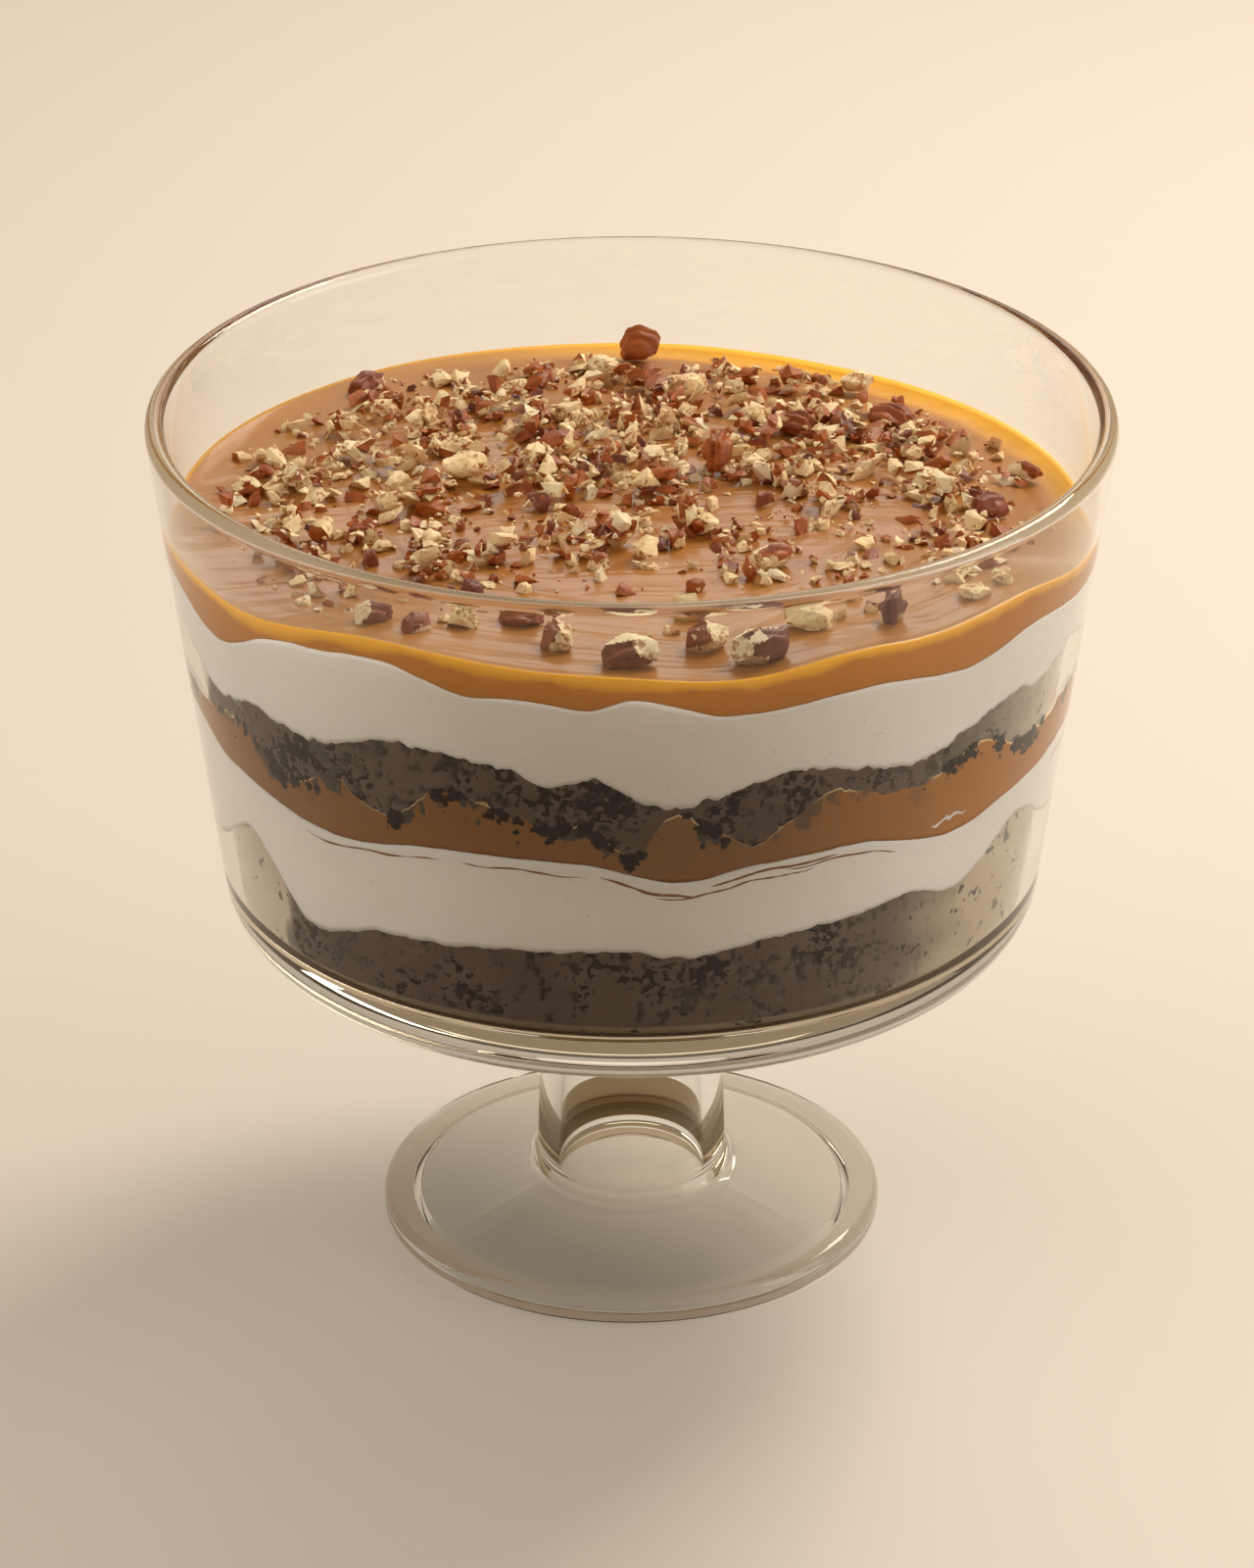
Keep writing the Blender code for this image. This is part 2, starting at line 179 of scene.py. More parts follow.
HELPERS = (give, feed, new_node, maths, cloud, mix_colours, attribute, add_bump, plain_material)
print("helpers:", [helper.__name__ for helper in HELPERS])

# %% [markdown]
# Light for glass is light for what the glass mirrors. A clear bowl has no colour of its own, so its
# rim and foot are drawn by the soft boxes and by the darker room between them. The key box stands
# behind the bowl on the right, a faint one straight behind it, and a wide one fills from each side. The
# world is a gentle gradient, warm and bright near the floor and cooler above, which gives every glass
# edge something to bend. The boxes aren't seen through glass, or their images would lie as white streaks
# in the thick floor, and the left box isn't mirrored either, because its image would be a haze over the
# caramel.

# %% Floor, lights and world
FLOOR_COLOUR = (0.71, 0.63, 0.535)
FLOOR_SIZE = 14.0
WORLD_LOW = (1.0, 0.79, 0.56)
WORLD_HIGH = (0.84, 0.75, 0.64)
WORLD_STRENGTH = 0.52
LAMPS = (
    ("key_box", (0.62, 0.80, 1.15), 0.55, 14.5, (1.0, 0.94, 0.85)),
    ("back_box", (0.02, 1.60, 0.97), 0.6, 2.0, (1.0, 0.95, 0.88)),
    ("left_box", (-1.25, -0.20, 0.55), 0.8, 6.9, (0.97, 0.98, 1.0)),
    ("right_box", (1.25, -0.25, 0.55), 0.8, 6.9, (0.97, 0.98, 1.0)),
)


def studio_floor():
    mesh = bpy.data.meshes.new("studio_floor")
    half = FLOOR_SIZE / 2
    corners = [(-half, -half, 0), (half, -half, 0), (half, half, 0), (-half, half, 0)]
    mesh.from_pydata(corners, [], [(0, 1, 2, 3)])
    mesh.materials.append(plain_material("pale_floor", FLOOR_COLOUR, 0.6)[0])
    floor = bpy.data.objects.new("studio_floor", mesh)
    scene.collection.objects.link(floor)


def soft_box(name, place, size, power, colour):
    lamp = bpy.data.lights.new(name, "AREA")
    lamp.size = size
    lamp.energy = power
    lamp.color = colour
    made = bpy.data.objects.new(name, lamp)
    scene.collection.objects.link(made)
    made.location = place
    made.visible_transmission = False
    made.visible_glossy = name != "left_box"
    aim = Vector((0, 0, MIDDLE_HEIGHT)) - Vector(place)
    made.rotation_euler = aim.to_track_quat("-Z", "Y").to_euler()


def studio_world():
    world = bpy.data.worlds.new("studio_world")
    scene.world = world
    world.use_nodes = True
    tree = world.node_tree
    place = tree.nodes.new("ShaderNodeTexCoord").outputs["Generated"]
    ramp = new_node(tree, "ValToRGB", Fac=new_node(tree, "SeparateXYZ", Vector=place).outputs["Z"])
    for stop, height, colour in zip(ramp.color_ramp.elements, (0.0, 0.7), (WORLD_LOW, WORLD_HIGH)):
        stop.position = height
        stop.color = (*colour, 1)
    feed(tree, tree.nodes["Background"], Color=ramp.outputs["Color"], Strength=WORLD_STRENGTH)


studio_floor()
for lamp in LAMPS:
    soft_box(*lamp)
studio_world()
scene.view_settings.view_transform = "Standard"
print("lamps:", [lamp[0] for lamp in LAMPS])

# %% [markdown]
# Four effects recur in food: a colour that wanders between two tones, small round pits, a fine relief
# that can be stretched along a grain, and clusters of ragged spots. Each is a node group, built once
# with named sockets, so that cream, caramel, brownie and nut all use the same tool at their own scale.
# The groups put out only colours, masks and heights. The shader itself stays in each material.

# %% Shared shader groups
def shader_group(name, *inputs):
    """An empty node group and its inputs, each given as (name, kind, default)."""
    group = bpy.data.node_groups.new(name, "ShaderNodeTree")
    for label, kind, default in inputs:
        socket = group.interface.new_socket(name=label, in_out="INPUT", socket_type="NodeSocket" + kind)
        if default is not None:
            socket.default_value = default
    return group, group.nodes.new("NodeGroupInput").outputs


def put_out(group, **results):
    """Gives a group its outputs, one for each keyword."""
    for label, socket in results.items():
        kind = "NodeSocketColor" if socket.type == "RGBA" else "NodeSocketFloat"
        group.interface.new_socket(name=label, in_out="OUTPUT", socket_type=kind)
    feed(group, group.nodes.new("NodeGroupOutput"), **results)
    return group


def soft_step(tree, value, start, end, first, last):
    """first below start, last above end, and a soft step between."""
    step = new_node(tree, "MapRange", Value=value, From_Min=start, From_Max=end, To_Min=first, To_Max=last)
    step.interpolation_type = "SMOOTHSTEP"
    return step.outputs["Result"]


def wandering_tone():
    """Mixes two colours by soft noise. A higher Contrast leaves less between them."""
    group, given = shader_group(
        "Wandering tone", ("Tone A", "Color", (0.8, 0.8, 0.8, 1)), ("Tone B", "Color", (0.6, 0.6, 0.6, 1)),
        ("Scale", "Float", 60.0), ("Contrast", "Float", 1.5), ("Vector", "Vector", None))
    soft = cloud(group, given["Vector"], given["Scale"], 5.0, 0.6)
    offset = maths(group, "MULTIPLY_ADD", given["Contrast"], -0.5, 0.5)
    mask = maths(group, "MULTIPLY_ADD", soft, given["Contrast"], offset)
    mask.node.use_clamp = True
    return put_out(group, Color=mix_colours(group, mask, given["Tone A"], given["Tone B"]))


def small_pits():
    """Round pits of uneven size: Mask is 1 in a pit."""
    group, given = shader_group(
        "Small pits", ("Scale", "Float", 300.0), ("Reach", "Float", 0.35), ("Vector", "Vector", None))
    cells = new_node(group, "TexVoronoi", Vector=given["Vector"], Scale=given["Scale"])
    reach = maths(group, "MULTIPLY", given["Reach"], cloud(group, given["Vector"], 70.0))
    mask = soft_step(group, cells.outputs["Distance"], 0.0, reach, 1.0, 0.0)
    return put_out(group, Mask=mask)


def grain_relief():
    """Fine noise, stretched by Stretch, as a height for a Bump node."""
    group, given = shader_group(
        "Grain relief", ("Scale", "Float", 400.0), ("Stretch", "Vector", (1, 1, 1)),
        ("Vector", "Vector", None))
    place = maths(group, "MULTIPLY", given["Vector"], given["Stretch"], kind="VectorMath")
    return put_out(group, Height=cloud(group, place, given["Scale"], 6.0, 0.65))


def ragged_patches():
    """Clusters of small ragged spots: Mask is 1 in a spot. A higher Start leaves fewer."""
    group, given = shader_group(
        "Ragged patches", ("Fine", "Float", 600.0), ("Broad", "Float", 90.0), ("Start", "Float", 0.55),
        ("Softness", "Float", 0.025), ("Vector", "Vector", None))
    fine_noise = cloud(group, given["Vector"], given["Fine"], 4.0)
    both = maths(group, "ADD", fine_noise, cloud(group, given["Vector"], given["Broad"]))
    end = maths(group, "ADD", given["Start"], given["Softness"])
    mask = soft_step(group, maths(group, "MULTIPLY", both, 0.5), given["Start"], end, 0.0, 1.0)
    return put_out(group, Mask=mask)


def use_group(tree, group, place, **values):
    """Adds a group to a material."""
    used = tree.nodes.new("ShaderNodeGroup")
    used.node_tree = group
    return feed(tree, used, Vector=place, **values).outputs


TONE, PITS, RELIEF, PATCHES = wandering_tone(), small_pits(), grain_relief(), ragged_patches()
print("groups:", [group.name for group in (TONE, PITS, RELIEF, PATCHES)])

# %% [markdown]
# The bowl is one turned piece of pressed glass: a straight leaning wall with a rounded bead for a rim,
# a thick floor, a hollow stem and a heavy foot. It could be an open surface with a thickness modifier,
# but glass bends light by its true section, so the whole outline is drawn, both faces of the wall
# with it, and turned. The outline repeats the solid's dimensions with finer arcs.

# %% The glass's dimensions
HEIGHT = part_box("glass_bowl")[1].z
RIM_LEVEL = 0.207
RIM_RADIUS = 0.111
BASE_RADIUS = 0.0938
UNDERSIDE = 0.079
CORNER_ROUND = 0.0165
WALL = 0.0035
RIM_BEAD = 0.0045
FLOOR = 0.092
FLOOR_FILLET = 0.007
STEM_TOP_RADIUS = 0.0205
STEM_LOW_RADIUS = 0.0225
STEM_FILLET = 0.004
STEM_FLARE = 0.005
FOOT_CROWN = 0.012
FOOT_SHOULDER = 0.0065
FOOT_RADIUS = 0.0596
FOOT_ROLL = 0.0026
REST_INNER = 0.052
REST_OUTER = 0.0578
RECESS = 0.002
RECESS_CROWN = 0.006
HOLLOW_RADIUS = 0.0175
HOLLOW_TOP_RADIUS = 0.0155
HOLLOW_SPRING = 0.054
HOLLOW_TOP = 0.066
WALL_SLOPE = (RIM_RADIUS - BASE_RADIUS) / (RIM_LEVEL - UNDERSIDE)
WALL_LEAN = math.atan(WALL_SLOPE)
GLASS_SIDES = 288


def arc(centre, radius, start, end, steps):
    """Points of an arc in (radius, height), from one angle to another in degrees."""
    points = []
    for step in range(steps + 1):
        angle = math.radians(start + (end - start) * step / steps)
        points.append((centre[0] + radius * math.cos(angle), centre[1] + radius * math.sin(angle)))
    return points


def outer_radius(height):
    return BASE_RADIUS + WALL_SLOPE * (height - UNDERSIDE)


def inner_radius(height):
    """Radius of the wall's inner face; height may be a number or an array."""
    return outer_radius(height) - WALL / math.cos(WALL_LEAN)


print("bowl:", round(HEIGHT / MM, 1), "mm high, wall leans", round(math.degrees(WALL_LEAN), 1), "degrees")

# %% [markdown]
# The outline is traced once: from the middle of the floor up the inside of the wall, over the rim, down
# the outside to the foot, and back up into the hollow of the stem. Each stretch is one short function.
# Smooth shading would spread round the corners, so a point is added near both ends of each long
# straight. The helpers that turn points into a piece of the part serve the food as well.

# %% The bowl's outline, turned
def floor_fillet():
    height = FLOOR + FLOOR_FILLET
    centre = (inner_radius(height) - FLOOR_FILLET / math.cos(WALL_LEAN), height)
    return arc(centre, FLOOR_FILLET, -90, -math.degrees(WALL_LEAN), 10)


def rim_arc():
    lean = math.degrees(WALL_LEAN)
    height = HEIGHT - RIM_BEAD / 2
    middle = outer_radius(height) - RIM_BEAD / 2 + 0.0001
    neck = HEIGHT - 5 * RIM_BEAD
    return [(inner_radius(neck), neck)] + arc((middle, height), RIM_BEAD / 2, 180 - lean, -lean, 14)


def bowl_corner():
    height = UNDERSIDE + CORNER_ROUND
    centre = (outer_radius(height) - CORNER_ROUND / math.cos(WALL_LEAN), height)
    return arc(centre, CORNER_ROUND, -math.degrees(WALL_LEAN), -90, 14)


def stem_outline():
    top = arc((STEM_TOP_RADIUS + STEM_FILLET, UNDERSIDE - STEM_FILLET), STEM_FILLET, 90, 180, 8)
    flare_centre = (STEM_LOW_RADIUS + STEM_FLARE, FOOT_CROWN + STEM_FLARE)
    return top + arc(flare_centre, STEM_FLARE, 180, 262, 8)


def foot_outline():
    """The foot's rolled edge, a fine moulding line under it, and the ring it stands on."""
    roll_centre = (FOOT_RADIUS - FOOT_ROLL, FOOT_SHOULDER - FOOT_ROLL)
    edge = arc(roll_centre, FOOT_ROLL, 84, 0, 8)
    seam = [(FOOT_RADIUS, 0.0031), (FOOT_RADIUS - 0.00035, 0.0027), (FOOT_RADIUS, 0.0023)]
    lower = arc((FOOT_RADIUS - 0.0017, 0.0017), 0.0017, 0, -88, 5)
    return edge + seam + lower + [(REST_OUTER - 0.0004, 0.0), (REST_INNER, 0.0)]


def hollow_outline():
    recess = [(REST_INNER - RECESS, RECESS), (0.035, 0.0042), (HOLLOW_RADIUS + 0.006, RECESS_CROWN)]
    mouth = [(HOLLOW_RADIUS + 0.0022, RECESS_CROWN + 0.0018), (HOLLOW_RADIUS, RECESS_CROWN + 0.0055)]
    dome = []
    for step in range(11):
        angle = math.pi / 2 * step / 10
        rise = (HOLLOW_TOP - HOLLOW_SPRING) * math.sin(angle)
        dome.append((HOLLOW_TOP_RADIUS * math.cos(angle), HOLLOW_SPRING + rise))
    return recess + mouth + dome[:-1]


HOLD = 0.0004


def held(outline):
    """The outline with a point near each end of a long segment, which keeps smooth shading true."""
    out = [outline[0]]
    for start, end in zip(outline, outline[1:]):
        length = math.dist(start, end)
        if length > 5 * HOLD:
            for share in (HOLD / length, 1 - HOLD / length):
                out.append(tuple(a + (b - a) * share for a, b in zip(start, end)))
        out.append(end)
    return out


def turns(sides):
    """Even turns round the bowl, in degrees."""
    return np.arange(sides) * 360.0 / sides


def polar(radius, heights, azimuths):
    """Points at a radius and height, for azimuths in degrees from the front to the right."""
    angle = np.radians(azimuths)
    return np.column_stack((radius * np.sin(angle), -radius * np.cos(angle), heights))


def new_mesh(name, points, faces, finish):
    """A smooth mesh with one material."""
    mesh = bpy.data.meshes.new(name)
    mesh.from_pydata(points, [], faces)
    mesh.materials.append(finish)
    mesh.shade_smooth()
    return mesh


def add_piece(mesh, slot, *solids):
    """Makes a mesh a piece of the part, in place of the solids that it dresses."""
    made = bpy.data.objects.new(mesh.name, mesh)
    scene.collection.objects.link(made)
    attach(made, "root")
    if solids:
        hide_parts(*solids)
    print(made.name, len(mesh.polygons), "faces")
    return made


def mesh_from_rings(name, rings, start, end, finish):
    """A closed mesh through equal rings of points, closed at each end by a single point."""
    sides = len(rings[0])
    points = np.concatenate([*rings, [start], [end]])
    first = len(rings) * sides
    around = np.arange(sides)
    after = (around + 1) % sides
    faces = []
    for index in range(len(rings) - 1):
        a, b = index * sides, (index + 1) * sides
        faces.append(np.column_stack((a + around, b + around, b + after, a + after)))
    quads = np.concatenate(faces).tolist()
    last = (len(rings) - 1) * sides
    fans = [(first, int(s), int(t)) for s, t in zip(around, after)]
    fans += [(first + 1, int(last + t), int(last + s)) for s, t in zip(around, after)]
    mesh = new_mesh(name, points.tolist(), quads + fans, finish)
    turn_outwards(mesh)
    return mesh


def turn_outwards(mesh):
    shape = bmesh.new()
    shape.from_mesh(mesh)
    bmesh.ops.recalc_face_normals(shape, faces=shape.faces[:])
    shape.to_mesh(mesh)
    shape.free()


# %% [markdown]
# Clear glass is one shader: full transmission and a smooth face. Lamps would reach what is inside only
# by chance through such a shader, so shadow rays pass a plain tinted window instead. The food is then
# lit as it is behind real glass, and the bowl still lays a light shadow on the floor. A ray that has
# bounced to and fro inside the thick floor takes a warmer, darker window, as light does that has come a
# long way through glass. Without it that part would turn black.

# %% Glass
GLASS_TINT = (0.975, 0.982, 0.965)
GLASS_SHADOW = (0.93, 0.93, 0.92)
GLASS_DEEP = (0.55, 0.48, 0.36)
GLASS_SHEEN = (0.50, 0.46, 0.40)
MOST_BOUNCES = 3.5


def clear_glass():
    made, tree, shader = plain_material("clear_pressed_glass", GLASS_TINT, 0.0)
    feed(tree, shader, Transmission_Weight=1.0, IOR=1.5, Specular_Tint=GLASS_SHEEN)
    path = tree.nodes.new("ShaderNodeLightPath").outputs
    tired = maths(tree, "GREATER_THAN", path["Ray Depth"], MOST_BOUNCES)
    window = new_node(tree, "BsdfTransparent", Color=mix_colours(tree, tired, GLASS_SHADOW, GLASS_DEEP))
    mix = new_node(tree, "MixShader", Fac=maths(tree, "MAXIMUM", path["Is Shadow Ray"], tired))
    give(tree, mix.inputs[1], shader.outputs["BSDF"])
    give(tree, mix.inputs[2], window.outputs["BSDF"])
    feed(tree, tree.nodes["Material Output"], Surface=mix.outputs["Shader"])
    return made


def glass_bowl():
    upper = floor_fillet() + rim_arc() + bowl_corner()
    lower = stem_outline() + foot_outline() + hollow_outline()
    outline = held([(0.001, FLOOR)] + upper + lower + [(0.0005, HOLLOW_TOP)])
    rings = [polar(radius, np.full(GLASS_SIDES, height), turns(GLASS_SIDES)) for radius, height in outline]
    return mesh_from_rings("footed_bowl", rings, (0, 0, FLOOR), (0, 0, HOLLOW_TOP), clear_glass())


add_piece(glass_bowl(), "clear_glass", "glass_bowl")

# %% [markdown]
# Every layer ends on the glass in a wavy line, where a spoon pressed it down. Those lines are already in
# the solids, as the outermost points of each layer, one every five degrees. Reading them back keeps the
# looks and the solids as one thing. A smooth curve goes through the points, and each food then adds its
# own unevenness: a long soft one in cream, a ragged one in brownie.

# %% Read the layers' edges from the solids
EDGE_POINTS = 72
NEAR_GLASS = 0.0008


def corner_points(name):
    return np.array([vertex.co for vertex in nodes[name].data.vertices])


def edge_line(name, top):
    """Height of a layer's top or bottom edge on the glass, at each of the solid's azimuths."""
    points = corner_points(name)
    radius = np.hypot(points[:, 0], points[:, 1])
    by_glass = points[radius > inner_radius(points[:, 2]) - NEAR_GLASS]
    turn = np.degrees(np.arctan2(by_glass[:, 0], -by_glass[:, 1]))
    side = np.round(turn * EDGE_POINTS / 360).astype(int) % EDGE_POINTS
    pick = max if top else min
    return np.array([pick(by_glass[side == s, 2]) for s in range(EDGE_POINTS)])


def middle_height(name, top):
    points = corner_points(name)
    middle = points[np.hypot(points[:, 0], points[:, 1]) < 0.5 * MM]
    return float(middle[:, 2].max() if top else middle[:, 2].min())


def along_edge(line, azimuth):
    """The edge's height at any azimuth in degrees, on a smooth curve through its points."""
    spot = np.asarray(azimuth) * EDGE_POINTS / 360
    index = np.floor(spot).astype(int)
    t = spot - index
    a, b, c, d = (np.take(line, index + shift, mode="wrap") for shift in (-1, 0, 1, 2))
    square, cube = 2 * a - 5 * b + 4 * c - d, 3 * b - a - 3 * c + d
    return 0.5 * (2 * b + (c - a) * t + square * t * t + cube * t ** 3)


LAYERS = ("brownie_base", "cream_lower", "caramel_middle", "brownie_middle", "cream_upper")
TOP_LINES = {name: edge_line(name, top=True) for name in LAYERS}
TOP_MIDDLES = {name: middle_height(name, top=True) for name in LAYERS}
CARAMEL_LINE = edge_line("caramel_top", top=True)
for name, line in TOP_LINES.items():
    print(name, "ends between", round(line.min() / MM, 1), "and", round(line.max() / MM, 1), "mm")

# %% [markdown]
# A layer is a stack of rings: across its underside, up its side against the glass, and back over its
# top. Cream and caramel wet the glass, so their sides reach a quarter of a millimetre into the wall and
# no film of air shows. Brownie doesn't wet it. It touches in patches, and between them it stands off in
# pits, where the air behind the glass turns the wall into a pale mirror at the sides of the bowl.

# %% Rings of a layer
INTO_GLASS = 0.00025
FACE_SHARES = (0.25, 0.5, 0.72, 0.88, 0.96)


def wobble(azimuths, seed, size, scale):
    """Unevenness along an edge: size in metres, scale in waves per metre."""
    out = []
    for azimuth in np.radians(azimuths):
        place = Vector((math.sin(azimuth), -math.cos(azimuth), 0)) * 0.1 * scale
        out.append(size * noise.fractal(place + Vector((0, 0, seed)), 0.75, 2.1, 5))
    return np.array(out)


def face_rings(edge, middle, azimuths, shares):
    """Rings across a layer's top or bottom, from the middle outwards."""
    rings = []
    for share in shares:
        heights = middle + (edge - middle) * share ** 2
        rings.append(polar(share * inner_radius(edge), heights, azimuths))
    return rings


def side_rings(low_edge, high_edge, azimuths, shares, press):
    """Rings up a layer's side; press gives how far each point reaches past the wall's inner face."""
    rings = []
    for share in shares:
        heights = low_edge + (high_edge - low_edge) * share
        rings.append(polar(inner_radius(heights) + press(azimuths, heights, share), heights, azimuths))
    return rings


def even(rows):
    """Even shares from 0 to 1."""
    return [row / rows for row in range(rows + 1)]


def wetting(azimuths, heights, share):
    """A food that wets the glass reaches evenly into it."""
    return np.full(len(azimuths), INTO_GLASS)


# %% [markdown]
# The ragged line between brownie and caramel is where crumbs sank into the caramel before it set. The
# edges are worked out once, for all layers, so that the top of one layer is exactly the bottom of the
# next. Only their unevenness differs.

# %% Edges of all layers
FINE_SIDES = 1440
UNEVEN = {
    "brownie_base": (11.0, 0.0007, 160.0),
    "cream_lower": (23.0, 0.0004, 60.0),
    "caramel_middle": (37.0, 0.0012, 240.0),
    "brownie_middle": (41.0, 0.0011, 230.0),
    "cream_upper": (53.0, 0.0003, 50.0),
}
fine = turns(FINE_SIDES)
EDGES = {}
for name, (seed, size, scale) in UNEVEN.items():
    EDGES[name] = along_edge(TOP_LINES[name], fine) + wobble(fine, seed, size, scale)
ragged = float(np.ptp(EDGES["caramel_middle"])) / MM
print("ragged edge of the middle caramel:", round(ragged, 1), "mm in all")


def layer_piece(name, below, shares, press, finish, slot, every=1):
    """A layer from the edge of the one below to its own. every leaves out sides where few will do."""
    azimuths = fine[::every]
    low_edge, high_edge = EDGES[below][::every], EDGES[name][::every]
    low_middle, high_middle = TOP_MIDDLES[below], TOP_MIDDLES[name]
    rings = face_rings(low_edge, low_middle, azimuths, FACE_SHARES)
    rings += side_rings(low_edge, high_edge, azimuths, shares, press)
    rings += reversed(face_rings(high_edge, high_middle, azimuths, FACE_SHARES))
    mesh = mesh_from_rings(name + "_layer", rings, (0, 0, low_middle), (0, 0, high_middle), finish)
    return add_piece(mesh, slot, name)


# %% [markdown]
# Whipped cream is almost white but never plain: it is a little warm, and thin drifts in it are denser
# or airier. Under its skin light travels a short way, which a touch of subsurface scattering gives.
# Its shine is low, because fat and air scatter it.

# %% Cream
CREAM_LIGHT = (0.88, 0.825, 0.75)
CREAM_DEEP = (0.78, 0.72, 0.63)
# Painted shade inside small bubble pits:
CREAM_PIT_SHADE = (0.66, 0.58, 0.46)


def whipped_cream():
    made, tree, shader = plain_material("whipped_cream", CREAM_LIGHT, 0.5)
    place = object_place(tree)
    tone = use_group(tree, TONE, place, Tone_A=CREAM_DEEP, Tone_B=CREAM_LIGHT, Scale=16.0, Contrast=1.6)
    bubble_shade = use_group(tree, PITS, place, Scale=260.0, Reach=0.22)
    folds = use_group(tree, RELIEF, place, Scale=45.0, Stretch=(1.0, 1.0, 3.0))
    # The pits take a darker colour, which is painted shade.
    feed(tree, shader, Base_Color=mix_colours(tree, bubble_shade["Mask"], tone["Color"], CREAM_PIT_SHADE),
         Subsurface_Weight=0.25, Subsurface_Radius=(1.0, 0.8, 0.55), Subsurface_Scale=0.004,
         Specular_IOR_Level=0.3)
    add_bump(tree, shader, folds["Height"], 0.0008, 0.5)
    return made


CREAM = whipped_cream()
layer_piece("cream_lower", "brownie_base", even(16), wetting, CREAM, "cream", every=2)
layer_piece("cream_upper", "brownie_middle", even(16), wetting, CREAM, "cream", every=2)

# %% [markdown]
# Caramel is a thick glossy sauce. Seen in depth it is a milky tan brown. Where it thins out on the
# glass, light comes through it and it glows amber. That glow is painted into the colour: the mesh carries
# a value named thin, which is 1 at such an edge and fades within a few millimetres, and the colour
# follows it. The middle layer is a darker copy of the caramel, which is painted shade. Two more values
# change it: sunk darkens it where crumbs lie in it, just under the brownie, and pressed brightens it
# towards the sides of the bowl, which is painted side light.

# %% Caramel
CARAMEL_TAN = (0.47, 0.192, 0.034)
CARAMEL_BROWN = (0.31, 0.110, 0.018)
# Painted glow, where light comes through thin caramel on the glass:
CARAMEL_AMBER_GLOW = (0.95, 0.47, 0.025)
# Caramel against the glass, which is also painted side light on the middle layer:
BY_GLASS_AND_SIDE_LIGHT = (0.47, 0.160, 0.004)
# The middle layer's caramel, darker than the top's, which is painted shade:
SHADED_BAND_TAN = (0.250, 0.090, 0.006)
SHADED_BAND_BROWN = (0.165, 0.056, 0.004)
# Painted glow of the middle layer's thin bright line:
BAND_GOLD_GLOW = (0.95, 0.68, 0.33)
SUNK_DARK = (0.030, 0.018, 0.012)


def caramel(name, light, deep, edge, roughness, relief):
    made, tree, shader = plain_material(name, light, roughness)
    place = object_place(tree)
    tone = use_group(tree, TONE, place, Tone_A=deep, Tone_B=light, Scale=26.0, Contrast=1.7)
    start = new_node(tree, "MapRange", Value=attribute(tree, "sunk"), To_Min=0.68, To_Max=0.36)
    crumbs = use_group(tree, PATCHES, place, Fine=300.0, Broad=110.0, Softness=0.06,
                       Start=start.outputs["Result"])
    clouded = mix_colours(tree, crumbs["Mask"], tone["Color"], SUNK_DARK)
    # On the middle layer pressed paints side light; on the poured top it marks the side against the glass.
    pressed = mix_colours(tree, attribute(tree, "pressed"), clouded, BY_GLASS_AND_SIDE_LIGHT)
    # The last mix paints the glow of light coming through thin caramel.
    feed(tree, shader, Base_Color=mix_colours(tree, attribute(tree, "thin"), pressed, edge),
         Specular_IOR_Level=0.4, Subsurface_Weight=0.12, Subsurface_Radius=(1.0, 0.45, 0.12),
         Subsurface_Scale=0.002, Coat_Weight=0.25, Coat_Roughness=0.12)
    streaks = use_group(tree, RELIEF, place, Scale=110.0, Stretch=(0.2, 1.0, 1.0))
    add_bump(tree, shader, streaks["Height"], relief, 0.8)
    return made


def set_values(mesh, name, values):
    """Stores one number at each point of a mesh, for an Attribute node to read."""
    layer = mesh.attributes.new(name, "FLOAT", "POINT")
    layer.data.foreach_set("value", np.asarray(values, np.float32))


POURED = caramel("poured_caramel", CARAMEL_TAN, CARAMEL_BROWN, CARAMEL_AMBER_GLOW, 0.34, 0.0005)
# The middle layer and the streaks take a darker copy of the caramel, which is painted shade.
SHADED_CARAMEL = caramel("shaded_pressed_caramel", SHADED_BAND_TAN, SHADED_BAND_BROWN, BAND_GOLD_GLOW, 0.4, 0.0002)
GOLD_GLOW_ROW = 0.965
SUNK_REACH = 0.0095
SIDE_LIGHT = 0.75
MIDDLE_SHARES = even(14)[:-1] + [GOLD_GLOW_ROW, 1.0]
middle = layer_piece("caramel_middle", "cream_lower", MIDDLE_SHARES, wetting, SHADED_CARAMEL, "caramel")


def gold_glow_line(piece):
    """Painted glow: the thin bright line along the ragged edge, where the caramel wells up beside the
    brownie.
    """
    values = np.zeros(len(piece.data.vertices))
    way = [Vector((math.sin(angle), math.cos(angle), 0)) for angle in np.radians(fine)]
    along = np.array([noise.noise(out * 9 + Vector((0, 0, 5))) for out in way])
    last = (len(FACE_SHARES) + len(MIDDLE_SHARES) - 1) * FINE_SIDES
    values[last:last + FINE_SIDES] = np.clip(along * 6 + 1.0, 0, 1)
    set_values(piece.data, "thin", values)


def sunk_values(piece):
    """1 at the ragged edge and 0 a few millimetres below it, where no crumb has sunk."""
    values = np.zeros(len(piece.data.vertices))
    depth = EDGES["caramel_middle"] - EDGES["cream_lower"]
    clusters = np.clip(0.62 + wobble(fine, 61.0, 1.6, 95.0), 0, 1)
    for row, share in enumerate(MIDDLE_SHARES):
        first = (len(FACE_SHARES) + row) * FINE_SIDES
        values[first:first + FINE_SIDES] = clusters * np.clip(1 - depth * (1 - share) / SUNK_REACH, 0, 1)
    set_values(piece.data, "sunk", values)


